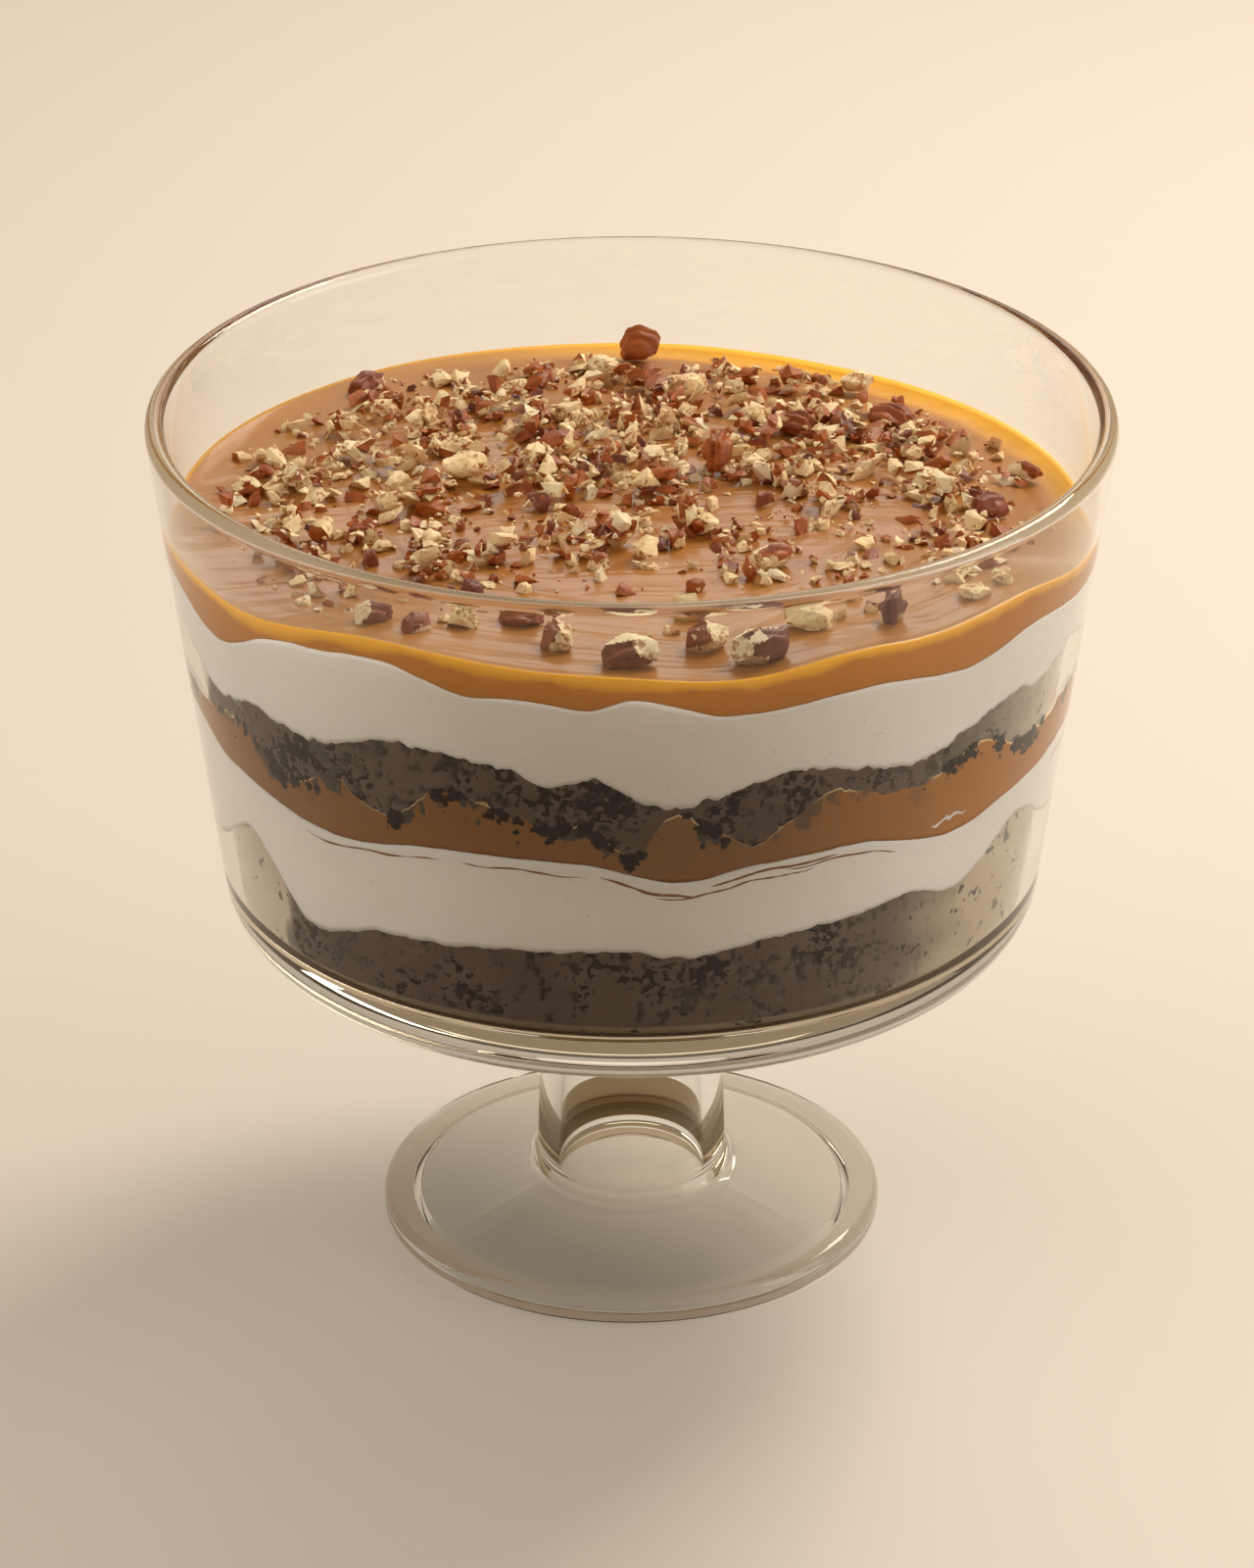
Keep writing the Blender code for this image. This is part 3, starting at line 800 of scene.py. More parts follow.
def painted_side_light(piece):
    """Painted side light: the caramel brightens towards the sides of the bowl, on the right sooner than on
    the left.
    """
    points = np.array([vertex.co for vertex in piece.data.vertices])
    azimuth = np.degrees(np.arctan2(points[:, 0], -points[:, 1]))
    lit_share = np.where(azimuth > 0, (azimuth - 15) / 35, (-azimuth - 50) / 30)
    set_values(piece.data, "pressed", SIDE_LIGHT * np.clip(lit_share, 0, 1))


gold_glow_line(middle)
sunk_values(middle)
painted_side_light(middle)

# %% [markdown]
# The top of the trifle is caramel spread with a spoon. Round the glass it climbs in a lip. Over the rest
# run the strokes, long and nearly parallel, swept round the bowl and across it. A flat disc with a bump
# map would lose them at its outline and in its highlights, so the strokes are real relief on a fine
# polar grid: noise that is stretched along the spoon's path, in two sweeps that take turns.

# %% The poured top
CARAMEL_LEVEL = 0.184
LIP = 0.0028
LIP_WIDTH = 0.06
LIP_RIGHT = 143.0
LIP_SPREAD = 62.0
TOP_SIDES = 640
TOP_RINGS = 118
BROAD_STROKE = 0.00065
FINE_STROKE = 0.00030
TOP_REACH = 0.0075
SWEEP_CENTRE = Vector((0.03, -0.30, 0.0))


def strokes(x, y):
    """Height of the spoon's marks at a point."""
    point = Vector((x, y, 0))
    warp = noise.noise(point * 28) * 0.004 + noise.noise(point * 90 + Vector((7, 0, 0))) * 0.0008
    radius = point.length + warp
    sweep = (point - SWEEP_CENTRE).length + warp
    drift = 4 * noise.noise(point * 16 + Vector((0, 3, 1)))
    take_turns = 0.5 + 0.5 * math.tanh(drift + 25 * (0.055 - radius))
    out = Vector((x, y, 0)).normalized() if radius > 0.001 else Vector((0, 0, 0))
    ring_mark = noise.noise(Vector((out.x * 1.6, out.y * 1.6, radius * 150)))
    ring_fine = noise.noise(Vector((out.x * 2.5, out.y * 2.5, radius * 620)))
    cross = noise.noise(Vector((x * 14, 4.0, sweep * 150)))
    cross_fine = noise.noise(Vector((x * 26, 9.0, sweep * 620)))
    broad = ring_mark * (1 - take_turns) + cross * take_turns
    thin = ring_fine * (1 - take_turns) + cross_fine * take_turns
    return BROAD_STROKE * broad + FINE_STROKE * thin


def lip_share(azimuth):
    """The lip stands highest behind on the right, where the spoon ended, and is low elsewhere."""
    off = (azimuth - LIP_RIGHT + 180) % 360 - 180
    return 0.25 + 0.75 * math.exp(-(off / LIP_SPREAD) ** 4)


def caramel_height(x, y):
    """Height of the poured caramel: level, lip and strokes."""
    share = min(1.0, math.hypot(x, y) / inner_radius(CARAMEL_LEVEL))
    azimuth = math.degrees(math.atan2(x, -y))
    lip = LIP * lip_share(azimuth)
    edge = float(along_edge(CARAMEL_LINE, azimuth)) - lip
    inwards = min(1.0, (1 - share) / LIP_WIDTH)
    level = CARAMEL_LEVEL + (edge - CARAMEL_LEVEL) * share * share
    return level + lip * (1 - inwards) ** 2 + strokes(x, y) * inwards


def poured_top():
    azimuths = turns(TOP_SIDES)
    low_edge = along_edge(TOP_LINES["cream_upper"], azimuths) + wobble(azimuths, *UNEVEN["cream_upper"])
    high_edge = along_edge(CARAMEL_LINE, azimuths)
    rings = face_rings(low_edge, TOP_MIDDLES["cream_upper"], azimuths, FACE_SHARES)
    rings += side_rings(low_edge, high_edge, azimuths, even(20), wetting)
    below = len(rings)
    shares = [1 - (step / TOP_RINGS) for step in range(1, TOP_RINGS)]
    for share in shares:
        flat = polar(share * inner_radius(high_edge), high_edge, azimuths)
        rings.append(np.array([(x, y, caramel_height(x, y)) for x, y, _ in flat]))
    top = (0, 0, caramel_height(0.0, 0.0))
    mesh = mesh_from_rings("poured_caramel", rings, (0, 0, TOP_MIDDLES["cream_upper"]), top, POURED)
    set_values(mesh, "thin", glow_by_glass(rings, below, high_edge, azimuths) + [0.0, 0.0])
    pressed = np.zeros(len(mesh.vertices))
    pressed[:below * TOP_SIDES] = 1.0
    set_values(mesh, "pressed", pressed)
    return mesh


def glow_by_glass(rings, below, high_edge, azimuths):
    """Painted glow: 1 where the caramel thins out on the glass, fading down its side and in from the wall.
    """
    values = []
    side_reach = 0.0022 + np.abs(wobble(azimuths, 91.0, 0.0030, 22.0))
    # The glow in from the wall is painted strongest behind on the right, where the lip stands highest.
    strength = np.array([lip_share(azimuth) for azimuth in azimuths]) ** 2
    for ring in rings[:below]:
        thin = np.clip(1 - np.abs(ring[:, 2] - high_edge) / side_reach, 0, 1)
        values += (thin ** 0.7).tolist()
    for ring in rings[below:]:
        from_wall = inner_radius(high_edge) - np.hypot(ring[:, 0], ring[:, 1])
        values += (np.clip(1 - from_wall / TOP_REACH, 0, 1) * strength).tolist()
    return values


add_piece(poured_top(), "caramel", "caramel_top")

# %% [markdown]
# Brownie is a dark moist crumb. Pressed to the glass it shows smooth greyish patches where it touches,
# and near-black pits where it doesn't. The pits are real: the side of the layer stands off the glass there,
# by noise at the size of crumbs, and more of it stands off at the sides of the bowl. A value named touch
# says where it touches, and the colour follows it. The near-black of the pits, and of small holes in the
# patches that touch, is painted shade. At the sides a pale painted reflection lies over the brownie.

# %% Brownie
BROWNIE_TOUCHING = (0.105, 0.070, 0.053)
BROWNIE_LIGHT = (0.150, 0.104, 0.079)
# Painted shade in the pits and holes:
BROWNIE_PIT_SHADE = (0.005, 0.003, 0.002)
BROWNIE_CRUMB_SHADE = (0.026, 0.012, 0.008)
# A pale painted reflection, where the glass mirrors over the brownie at the sides and under the base:
MIRROR_PAINT_LIGHT = (0.64, 0.55, 0.42)
MIRROR_PAINT_DEEP = (0.44, 0.34, 0.23)
UNDERSIDE_MIRROR = 0.4


def brownie():
    made, tree, shader = plain_material("dark_brownie", BROWNIE_TOUCHING, 0.75)
    place = object_place(tree)

    def tones(dark, light, scale, contrast):
        tone = use_group(tree, TONE, place, Tone_A=dark, Tone_B=light, Scale=scale, Contrast=contrast)
        return tone["Color"]

    # Painted shade: the near-black colour of the pits, and of holes in the patches that touch.
    inside = tones(BROWNIE_PIT_SHADE, BROWNIE_CRUMB_SHADE, 900.0, 3.0)
    smooth = tones(BROWNIE_TOUCHING, BROWNIE_LIGHT, 48.0, 3.2)
    shaded_holes = use_group(tree, PATCHES, place, Fine=520.0, Broad=60.0, Start=0.556, Softness=0.012)
    crumb_with_shade = mix_colours(tree, shaded_holes["Mask"], smooth, inside)
    touched = mix_colours(tree, attribute(tree, "touch"), inside, crumb_with_shade)
    specks = use_group(tree, PATCHES, place, Fine=420.0, Broad=140.0, Start=0.59)
    # Painted reflection, with dark specks where crumbs touch the glass.
    pale_mirror = mix_colours(tree, specks["Mask"], tones(MIRROR_PAINT_DEEP, MIRROR_PAINT_LIGHT, 24.0, 2.2), inside)
    colour = mix_colours(tree, attribute(tree, "pale_mirror"), touched, pale_mirror)
    feed(tree, shader, Base_Color=colour, Specular_IOR_Level=0.25)
    rough = use_group(tree, RELIEF, place, Scale=500.0)
    add_bump(tree, shader, rough["Height"], 0.0006, 0.8)
    return made


MIRROR_FADE = 24


def pale_mirror_at(azimuth, height, sides):
    """How much pale painted reflection lies over the brownie. sides: left start and width, right start and
    width, end.
    """
    turned = (azimuth + 180) % 360 - 180
    start, width = sides[:2] if turned < 0 else sides[2:4]
    ragged = 5 * noise.noise(Vector((azimuth * 0.12, height * 110, 2.0)))
    share = min(1.0, max(0.0, (abs(turned) - start + ragged) / width))
    return share * share * min(1.0, max(0.0, (sides[4] - abs(turned)) / MIRROR_FADE))


def touch_at(azimuth, height, seed):
    """Whether brownie touches the glass at a point: over 0 where it does."""
    angle = math.radians(azimuth)
    place = Vector((math.sin(angle) * 0.1, -math.cos(angle) * 0.1, height))
    broad = noise.noise(place * 70 + Vector((0, 0, seed)))
    crumb = noise.fractal(place * 330 + Vector((seed, 0, 0)), 0.8, 2.0, 3)
    return 0.22 + 0.42 * broad + 0.75 * crumb


STANDS_OFF = -0.0004
DEEPEST_PIT = -0.0022


def brownie_press(seed, sides):
    """How far each point of a brownie's side reaches past the wall's inner face."""
    def press(azimuths, heights, share):
        out = []
        for azimuth, height in zip(azimuths, heights):
            touch = touch_at(azimuth, height, seed)
            pressed = INTO_GLASS if touch > 0 else max(DEEPEST_PIT, INTO_GLASS + touch * 0.004)
            # Where the painted reflection lies, the brownie also stands off the glass, which makes a real
            # mirror there.
            pale_mirror = pale_mirror_at(azimuth, height, sides)
            out.append(pressed + (STANDS_OFF - pressed) * pale_mirror)
        return np.array(out)
    return press


def mark_touch(piece, sides):
    """Stores where the brownie touches the glass and where a pale painted reflection lies over it."""
    points = np.array([vertex.co for vertex in piece.data.vertices])
    reach = np.hypot(points[:, 0], points[:, 1]) - inner_radius(points[:, 2])
    under = points[:, 2] < FLOOR + 0.8 * FLOOR_FILLET
    pale_mirror = np.zeros(len(points))
    for index in np.flatnonzero(under | (reach > -0.003)):
        x, y, z = points[index]
        pale_mirror[index] = pale_mirror_at(math.degrees(math.atan2(x, -y)), z, sides)
    set_values(piece.data, "touch", np.clip(1 + (reach - INTO_GLASS) / 0.0005, 0, 1))
    # The underside gets at least some painted reflection.
    set_values(piece.data, "pale_mirror", np.where(under, np.maximum(pale_mirror, UNDERSIDE_MIRROR), pale_mirror))


BROWNIE = brownie()
MIDDLE_MIRROR = (66, 3, 24, 44, 112)
middle_press = brownie_press(3.0, MIDDLE_MIRROR)
second = layer_piece("brownie_middle", "caramel_middle", even(26), middle_press, BROWNIE, "brownie")
mark_touch(second, MIDDLE_MIRROR)

# %% [markdown]
# The brownie base fills the bowl's rounded corner. Its underside only rests on the glass floor. A film of
# air stays between them, so light runs through the thick floor by total reflection and shows it as the
# pale band below the brownie. A base that wetted the floor would turn that band black. The underside is
# also painted pale, a painted reflection which keeps the band from going dark where it mirrors the base.

# %% The brownie base
UNDER_AIR = 0.0002
UNDER_RADIUS = 0.080
BASE_MIRROR = (52, 2.5, 24, 28, 112)


def base_mesh():
    low_edge = np.full(FINE_SIDES, floor_fillet()[-1][1])
    bottom = FLOOR + UNDER_AIR
    rings = [polar(share * UNDER_RADIUS, np.full(FINE_SIDES, bottom), fine) for share in (0.3, 0.7)]
    for radius, height in floor_fillet()[:-1]:
        rings.append(polar(radius - UNDER_AIR, np.full(FINE_SIDES, height + UNDER_AIR), fine))
    rings += side_rings(low_edge, EDGES["brownie_base"], fine, even(32), brownie_press(8.0, BASE_MIRROR))
    rings += reversed(face_rings(EDGES["brownie_base"], TOP_MIDDLES["brownie_base"], fine, FACE_SHARES))
    top = (0, 0, TOP_MIDDLES["brownie_base"])
    return mesh_from_rings("brownie_base_layer", rings, (0, 0, bottom), top, BROWNIE)


mark_touch(add_piece(base_mesh(), "brownie", "brownie_base"), BASE_MIRROR)

# %% [markdown]
# A pecan's skin is red-brown, glossy and grooved along the nut, and its broken flesh is ivory and mealy.
# Chopping leaves pieces with some of each. One material serves them all. Each face of a nut stores how
# fleshy it is and a tone of its own, and each point stores where it lies along the grain, so the skin's
# streaks run the right way on every piece.

# %% Pecan finish
SKIN_RED = (0.52, 0.130, 0.020)
SKIN_DARK = (0.20, 0.044, 0.010)
SKIN_PURPLE = (0.17, 0.060, 0.042)
FLESH_IVORY = (0.97, 0.79, 0.46)
FLESH_TAN = (0.74, 0.49, 0.23)
FLESH_GREY = (0.84, 0.70, 0.48)
NUT_DUST = (0.50, 0.25, 0.10)


def pecan_finish():
    made, tree, shader = plain_material("chopped_pecan", SKIN_RED, 0.45)
    place, tone, fleshy = object_place(tree), attribute(tree, "tone"), attribute(tree, "flesh")
    along = maths(tree, "MULTIPLY", attribute(tree, "grain", "Vector"), (0.25, 1.0, 1.0), kind="VectorMath")
    skin = use_group(tree, TONE, along, Tone_A=SKIN_DARK, Tone_B=SKIN_RED, Scale=520.0, Contrast=2.2)
    flesh = use_group(tree, TONE, place, Tone_A=FLESH_TAN, Tone_B=FLESH_IVORY, Scale=200.0, Contrast=3.0)
    dust = use_group(tree, PATCHES, place, Fine=1100.0, Broad=260.0, Start=0.565)
    skins = mix_colours(tree, tone, skin["Color"], SKIN_PURPLE)
    fleshes = mix_colours(tree, dust["Mask"], mix_colours(tree, tone, flesh["Color"], FLESH_GREY), NUT_DUST)
    dull = new_node(tree, "MapRange", Value=fleshy, To_Min=0.30, To_Max=0.62).outputs["Result"]
    feed(tree, shader, Base_Color=mix_colours(tree, fleshy, skins, fleshes), Roughness=dull,
         Specular_IOR_Level=0.3, Subsurface_Weight=0.15, Subsurface_Radius=(1.0, 0.6, 0.3),
         Subsurface_Scale=0.0008)
    relief = use_group(tree, RELIEF, place, Scale=900.0)
    add_bump(tree, shader, relief["Height"], 0.0004, 0.7)
    return made


PECAN = pecan_finish()
NUT_EDGE = math.radians(28)


def joined(parts):
    """Points and faces of several small shapes as one."""
    points, faces = [], []
    for places, part_faces in parts:
        start = len(points)
        points += [tuple(p) for p in places]
        faces += [[start + index for index in face] for face in part_faces]
    return points, faces


def nut_object(name, parts, *solids):
    """One mesh of nut pieces. Each is (points, faces, fleshiness by face, grain by point, tone)."""
    mesh = new_mesh(name, *joined([part[:2] for part in parts]), PECAN)
    mesh.set_sharp_from_angle(angle=NUT_EDGE)
    flesh = [value for part in parts for value in part[2]]
    tones = [part[4] for part in parts for _ in part[1]]
    for label, values in (("flesh", flesh), ("tone", tones)):
        layer = mesh.attributes.new(label, "FLOAT", "FACE")
        layer.data.foreach_set("value", np.array(values, np.float32))
    layer = mesh.attributes.new("grain", "FLOAT_VECTOR", "POINT")
    grain = [value for part in parts for value in part[3]]
    layer.data.foreach_set("vector", np.array(grain, np.float32).ravel())
    return add_piece(mesh, "pecan", *solids)


# %% [markdown]
# The solids give every larger piece its own blunt shape. To dress one, a fine ball is shrunk onto it,
# some corners are broken off flat, the skin gets its grooves, and the broken flesh gets a lumpy
# relief with creases. Sculpting by hand would look as good, but this way all pieces follow one rule,
# and each still comes out different.

# %% Dress a solid piece as a pecan
GROOVE_EVERY = 0.0023
GROOVE_DEPTH = 0.00070
CRAG_SCALE = 620.0
CRAG_DEPTH = 0.00022
BREAKS = 15


def taken(shape):
    """The points and faces of a bmesh, which is freed."""
    places = [vertex.co.copy() for vertex in shape.verts]
    faces = [[vertex.index for vertex in face.verts] for face in shape.faces]
    shape.free()
    return places, faces


def ball(detail):
    """Unit directions and faces of an even ball."""
    shape = bmesh.new()
    bmesh.ops.create_icosphere(shape, subdivisions=detail, radius=1.0)
    return taken(shape)


BALLS = {detail: ball(detail) for detail in (2, 3, 4)}


def crag(point):
    """0 on a crease between lumps, rising to 1 on a lump."""
    near = noise.voronoi(point * CRAG_SCALE)[0]
    return min(1.0, (near[1] - near[0]) * 2.2)


def long_axis(points):
    """Direction in the plane along which a set of points spreads most."""
    flat = np.array(points)[:, :2]
    flat = flat - flat.mean(0)
    _, vectors = np.linalg.eigh(flat.T @ flat)
    return Vector((*vectors[:, 1], 0.0))


def random_direction(draw):
    return Vector([draw.gauss(0, 1) for _ in range(3)]).normalized()


def face_normals(places, faces):
    """Normal and middle of each triangle."""
    corners = np.array([tuple(p) for p in places])[np.array(faces)]
    normals = np.cross(corners[:, 1] - corners[:, 0], corners[:, 2] - corners[:, 0])
    return normals / np.maximum(np.linalg.norm(normals, axis=1, keepdims=True), 1e-12), corners.mean(1)


def fleshiness(places, faces, skin_side, share, shift, ragged):
    """0 on faces that look towards the skin's side, 1 on broken ones. share is how much skin is left."""
    normals, middles = face_normals(places, faces)
    out = []
    for normal, middle in zip(normals, middles):
        edge = ragged * noise.noise((Vector(middle) + shift) * 260)
        out.append(0.0 if float(normal @ np.array(skin_side)) + edge > 1 - 2 * share else 1.0)
    return out


def dress(points, faces, detail, draw, skin_side, share, tone):
    """A detailed nut over a blunt solid."""
    tree = BVHTree.FromPolygons([Vector(p) for p in points], faces)
    low, high = np.min(points, 0), np.max(points, 0)
    centre = Vector((low + high) / 2)
    size = float(np.linalg.norm(high - low))
    axis = long_axis(points)
    side = Vector((0, 0, 1)).cross(axis)
    shift = Vector((draw.uniform(0, 50), draw.uniform(0, 50), 0))
    breaks = [random_direction(draw) for _ in range(BREAKS)]
    breaks = [way for way in breaks if way.dot(skin_side) < 1 - 1.6 * share]
    reach = [max((p - centre).dot(way) for p in points) * draw.uniform(0.60, 0.94) for way in breaks]
    scale = min(1.0, size / 0.012)
    directions, ball_faces = BALLS[detail]
    places, smooth, grain = [], [], []
    for direction in directions:
        hit, normal, _, _ = tree.ray_cast(centre + direction * size, -direction)
        if hit is None:
            hit, normal = centre + direction * size * 0.1, direction
        spot = hit - centre
        for way, limit in zip(breaks, reach):
            spot -= way * max(0.0, spot.dot(way) - limit)
        across = spot.dot(side) + noise.noise((hit + shift) * 160) * 0.0008
        skinned = min(1.0, max(0.0, (normal.dot(skin_side) - (1 - 2 * share)) * 4 + 0.5))
        groove = -abs(math.cos(math.pi * across / GROOVE_EVERY)) ** 5 * GROOVE_DEPTH
        broken = (crag(hit + shift) - 1) * CRAG_DEPTH + noise.noise((hit + shift) * 1100) * 0.00022
        lump = noise.noise((hit + shift) * 230) * 0.0004
        push = (skinned * groove + (1 - skinned) * broken + lump) * scale
        places.append(centre + spot + direction * push)
        smooth.append(centre + spot)
        grain.append((spot.dot(axis), across, spot.z))
    flesh = fleshiness(smooth, ball_faces, skin_side, share, shift, 0.06)
    return places, ball_faces, flesh, grain, tone


def welded(name):
    """A solid's shape, with its repeated points made one."""
    shape = bmesh.new()
    shape.from_mesh(nodes[name].data)
    bmesh.ops.remove_doubles(shape, verts=shape.verts[:], dist=0.00001)
    return shape


# %% [markdown]
# Which way the skin faces, and how much of it is left, is what makes each large piece itself, so those
# are chosen one by one. The turn is counted from the front to the right, the tilt upwards.

# %% The large pecans
SKINS = {  # piece: (turn of the skin in degrees, tilt, share of skin, purple tone)
    1: (0, 70, 0.75, 0.1), 2: (90, -10, 0.15, 0.1), 3: (-60, 40, 0.45, 0.5), 4: (180, 0, 0.12, 0.2),
    5: (180, -20, 0.08, 0.0), 6: (0, 50, 0.80, 0.3), 7: (20, 60, 0.75, 0.4), 8: (-90, 20, 0.45, 0.3),
    9: (60, 30, 0.40, 0.3), 10: (-60, 20, 0.50, 0.1), 11: (0, 30, 0.65, 0.1), 12: (180, -10, 0.05, 0.0),
    13: (90, 0, 0.12, 0.0), 14: (0, -40, 0.45, 0.1), 15: (0, 60, 0.85, 0.6), 16: (-70, 10, 0.25, 0.0),
    17: (100, 30, 0.35, 0.2), 18: (180, 0, 0.08, 0.0), 19: (0, 45, 0.55, 0.9), 20: (-100, 10, 0.22, 0.2),
    21: (75, 20, 0.33, 0.9), 22: (-80, 15, 0.45, 0.5), 23: (-50, -10, 0.42, 0.7), 24: (-90, 20, 0.48, 0.5),
    25: (0, 80, 0.90, 0.5), 26: (150, 0, 0.12, 0.1), 27: (-60, 30, 0.5, 0.4), 28: (80, 10, 0.42, 0.6),
}


def towards(turn, tilt):
    """Unit vector for a turn from the front to the right and a tilt upwards, in degrees."""
    turn, tilt = math.radians(turn), math.radians(tilt)
    return Vector((math.sin(turn) * math.cos(tilt), -math.cos(turn) * math.cos(tilt), math.sin(tilt)))


for index, (turn, tilt, share, tone) in SKINS.items():
    name = f"pecan_{index:02d}"
    points, faces = taken(welded(name))
    part = dress(points, faces, 4, random.Random(index), towards(turn, tilt), share, tone)
    nut_object(f"large_nut_{index:02d}", [part], name)

# %% [markdown]
# The smaller chopped pieces are part of the caramel's solid. Everything in that solid that stands clear
# of the spread caramel belongs to one of them, and the points that hang together are one piece. So the
# cell finds the pieces there, closes each with a hull, and dresses it like the large ones.

# %% The chopped pecans that the caramel's solid holds
STANDS_CLEAR = 0.0009
FEET_REACH = 0.0065
FEET_DROP = Vector((0, 0, 0.0006))


def level_here(co):
    """Height of the solid's caramel, which has only the lip and a broad stroke."""
    share = min(1.0, math.hypot(co.x, co.y) / inner_radius(CARAMEL_LEVEL))
    if share > 0.95:
        return co.z
    edge = float(along_edge(CARAMEL_LINE, math.degrees(math.atan2(co.x, -co.y)))) - LIP
    return CARAMEL_LEVEL + (edge - CARAMEL_LEVEL) * share * share


def chopped_solids():
    """Points of each chopped piece in the caramel's solid: its crown and the corners below it."""
    shape = welded("caramel_top")
    shape.verts.ensure_lookup_table()
    plain = {v.index for v in shape.verts if v.co.z - level_here(v.co) < STANDS_CLEAR}
    seen, found = set(), []
    for vertex in shape.verts:
        if vertex.index in plain or vertex.index in seen:
            continue
        group, ahead = set(), [vertex]
        while ahead:
            here = ahead.pop()
            if here.index in group:
                continue
            group.add(here.index)
            near = [edge.other_vert(here) for edge in here.link_edges]
            ahead += [v for v in near if v.index not in plain]
        seen |= group
        crown = [shape.verts[index].co.copy() for index in group]
        edges = [edge for index in group for edge in shape.verts[index].link_edges]
        feet = {v.index for edge in edges for v in edge.verts} - group
        middle = sum(crown, Vector()) / len(crown)
        places = [shape.verts[index].co for index in feet]
        found.append(crown + [co - FEET_DROP for co in places if (co - middle).length < FEET_REACH])
    shape.free()
    return found


def hull(points, cuts=0):
    """The closed hull of some points, its triangles cut finer where asked."""
    shape = bmesh.new()
    for point in points:
        shape.verts.new(point)
    bmesh.ops.convex_hull(shape, input=shape.verts[:])
    bmesh.ops.delete(shape, geom=[v for v in shape.verts if not v.link_faces], context="VERTS")
    bmesh.ops.triangulate(shape, faces=shape.faces[:])
    if cuts:
        bmesh.ops.subdivide_edges(shape, edges=shape.edges[:], cuts=cuts, use_grid_fill=True)
        bmesh.ops.triangulate(shape, faces=shape.faces[:])
    bmesh.ops.recalc_face_normals(shape, faces=shape.faces[:])
    shape.verts.index_update()
    return taken(shape)


parts = []
for index, points in enumerate(chopped_solids()):
    draw = random.Random(500 + index)
    places, faces = hull(points)
    side = towards(draw.uniform(-180, 180), draw.uniform(-10, 80))
    share = draw.choice((0.1, 0.25, 0.4, 0.5, 0.8))
    parts.append(dress(places, faces, 3, draw, side, share, draw.random() ** 3))
nut_object("chopped_nuts", parts, "caramel_top")
print("chopped pieces:", len(parts))

# %% [markdown]
# Chopping makes far more shards and crumbs than pieces. A shard is the hull of a few scattered points,
# stretched and roughened, which gives the flat breaks and sharp corners of a chopped nut. They
# lie thickest behind and to the left, and thin out towards the glass. Each new one lands on whatever is
# already there, which a coarse height map of the pile remembers.

# %% Shards and crumbs
NUT_REACH = 0.097
BARE_MARGIN = 0.017
BARE_SPOTS = (  # x, y and radius
    (-0.068, -0.012, 0.009), (-0.002, -0.044, 0.010), (0.031, 0.000, 0.009), (0.046, -0.033, 0.010),
    (0.013, -0.029, 0.008), (-0.058, -0.036, 0.010), (0.060, -0.004, 0.007), (-0.020, 0.070, 0.006),
    (0.030, 0.068, 0.006), (-0.030, -0.006, 0.004), (-0.086, 0.034, 0.012))
PILE_CELL = 0.0012
PILE_LIMIT = 0.0045
pile = {}


def how_thick(x, y):
    """How thickly the nuts lie at a point, 0 to 1."""
    margin = min(1.0, max(0.0, (NUT_REACH - math.hypot(x, y)) / BARE_MARGIN))
    behind = min(1.0, max(0.04, (y + 0.058) / 0.012))
    right_front = 0.62 if x > 0.004 and y < -0.006 else 1.0
    drifts = min(1.0, max(0.12, 0.72 + 1.3 * noise.noise(Vector((x, y, 0)) * 75)))
    for spot_x, spot_y, radius in BARE_SPOTS:
        drifts *= min(1.0, max(0.08, math.hypot(x - spot_x, y - spot_y) / radius - 0.45))
    return margin * behind * right_front * drifts


def rest_height(x, y, half, tall):
    """Height at which a piece comes to rest, and the pile grows under it."""
    cells = []
    steps = max(1, round(half / PILE_CELL))
    for i in range(-steps, steps + 1):
        for j in range(-steps, steps + 1):
            if i * i + j * j <= steps * steps:
                cells.append((round(x / PILE_CELL) + i, round(y / PILE_CELL) + j))
    under = sorted(pile.get(cell, 0.0) for cell in cells)[int(len(cells) * 0.6)]
    under = min(under, PILE_LIMIT)
    for cell in cells:
        pile[cell] = max(pile.get(cell, 0.0), under + tall * 0.75)
    return caramel_height(x, y) + under * 0.8


def shard(draw, size, x, y, corners, cuts):
    """A broken piece of nut, size long, resting at a point."""
    long, wide, tall = size * 0.5, size * draw.uniform(0.26, 0.44), size * draw.uniform(0.18, 0.36)
    points = []
    for _ in range(corners):
        way = random_direction(draw) * draw.uniform(0.75, 1.0)
        points.append(Vector((way.x * long, way.y * wide, way.z * tall)))
    turn = Matrix.Rotation(draw.uniform(0, math.tau), 3, "Z") @ Matrix.Rotation(draw.gauss(0, 0.35), 3, "Y")
    places, faces = hull(points, cuts)
    shift = Vector((draw.uniform(0, 50), draw.uniform(0, 50), 0))
    kind = draw.random()
    share = 0.0 if kind < 0.44 else draw.uniform(0.25, 0.55) if kind < 0.76 else 1.0
    side = towards(draw.uniform(-180, 180), draw.uniform(-30, 70))
    flesh = fleshiness(places, faces, side, share, shift, 0.0)
    if cuts:
        rough = 0.055 * size
        places = [p + p.normalized() * noise.noise((p + shift) * 2.2 / size) * rough * 1.6
                  + p.normalized() * noise.noise((p + shift) * 6.0 / size) * rough for p in places]
    grain = [tuple(p) for p in places]
    places = [turn @ p for p in places]
    lowest = min(p.z for p in places)
    centre = Vector((x, y, rest_height(x, y, size * 0.36, tall * 2) - lowest - 0.12 * size))
    return [centre + p for p in places], faces, flesh, grain, draw.random() ** 5


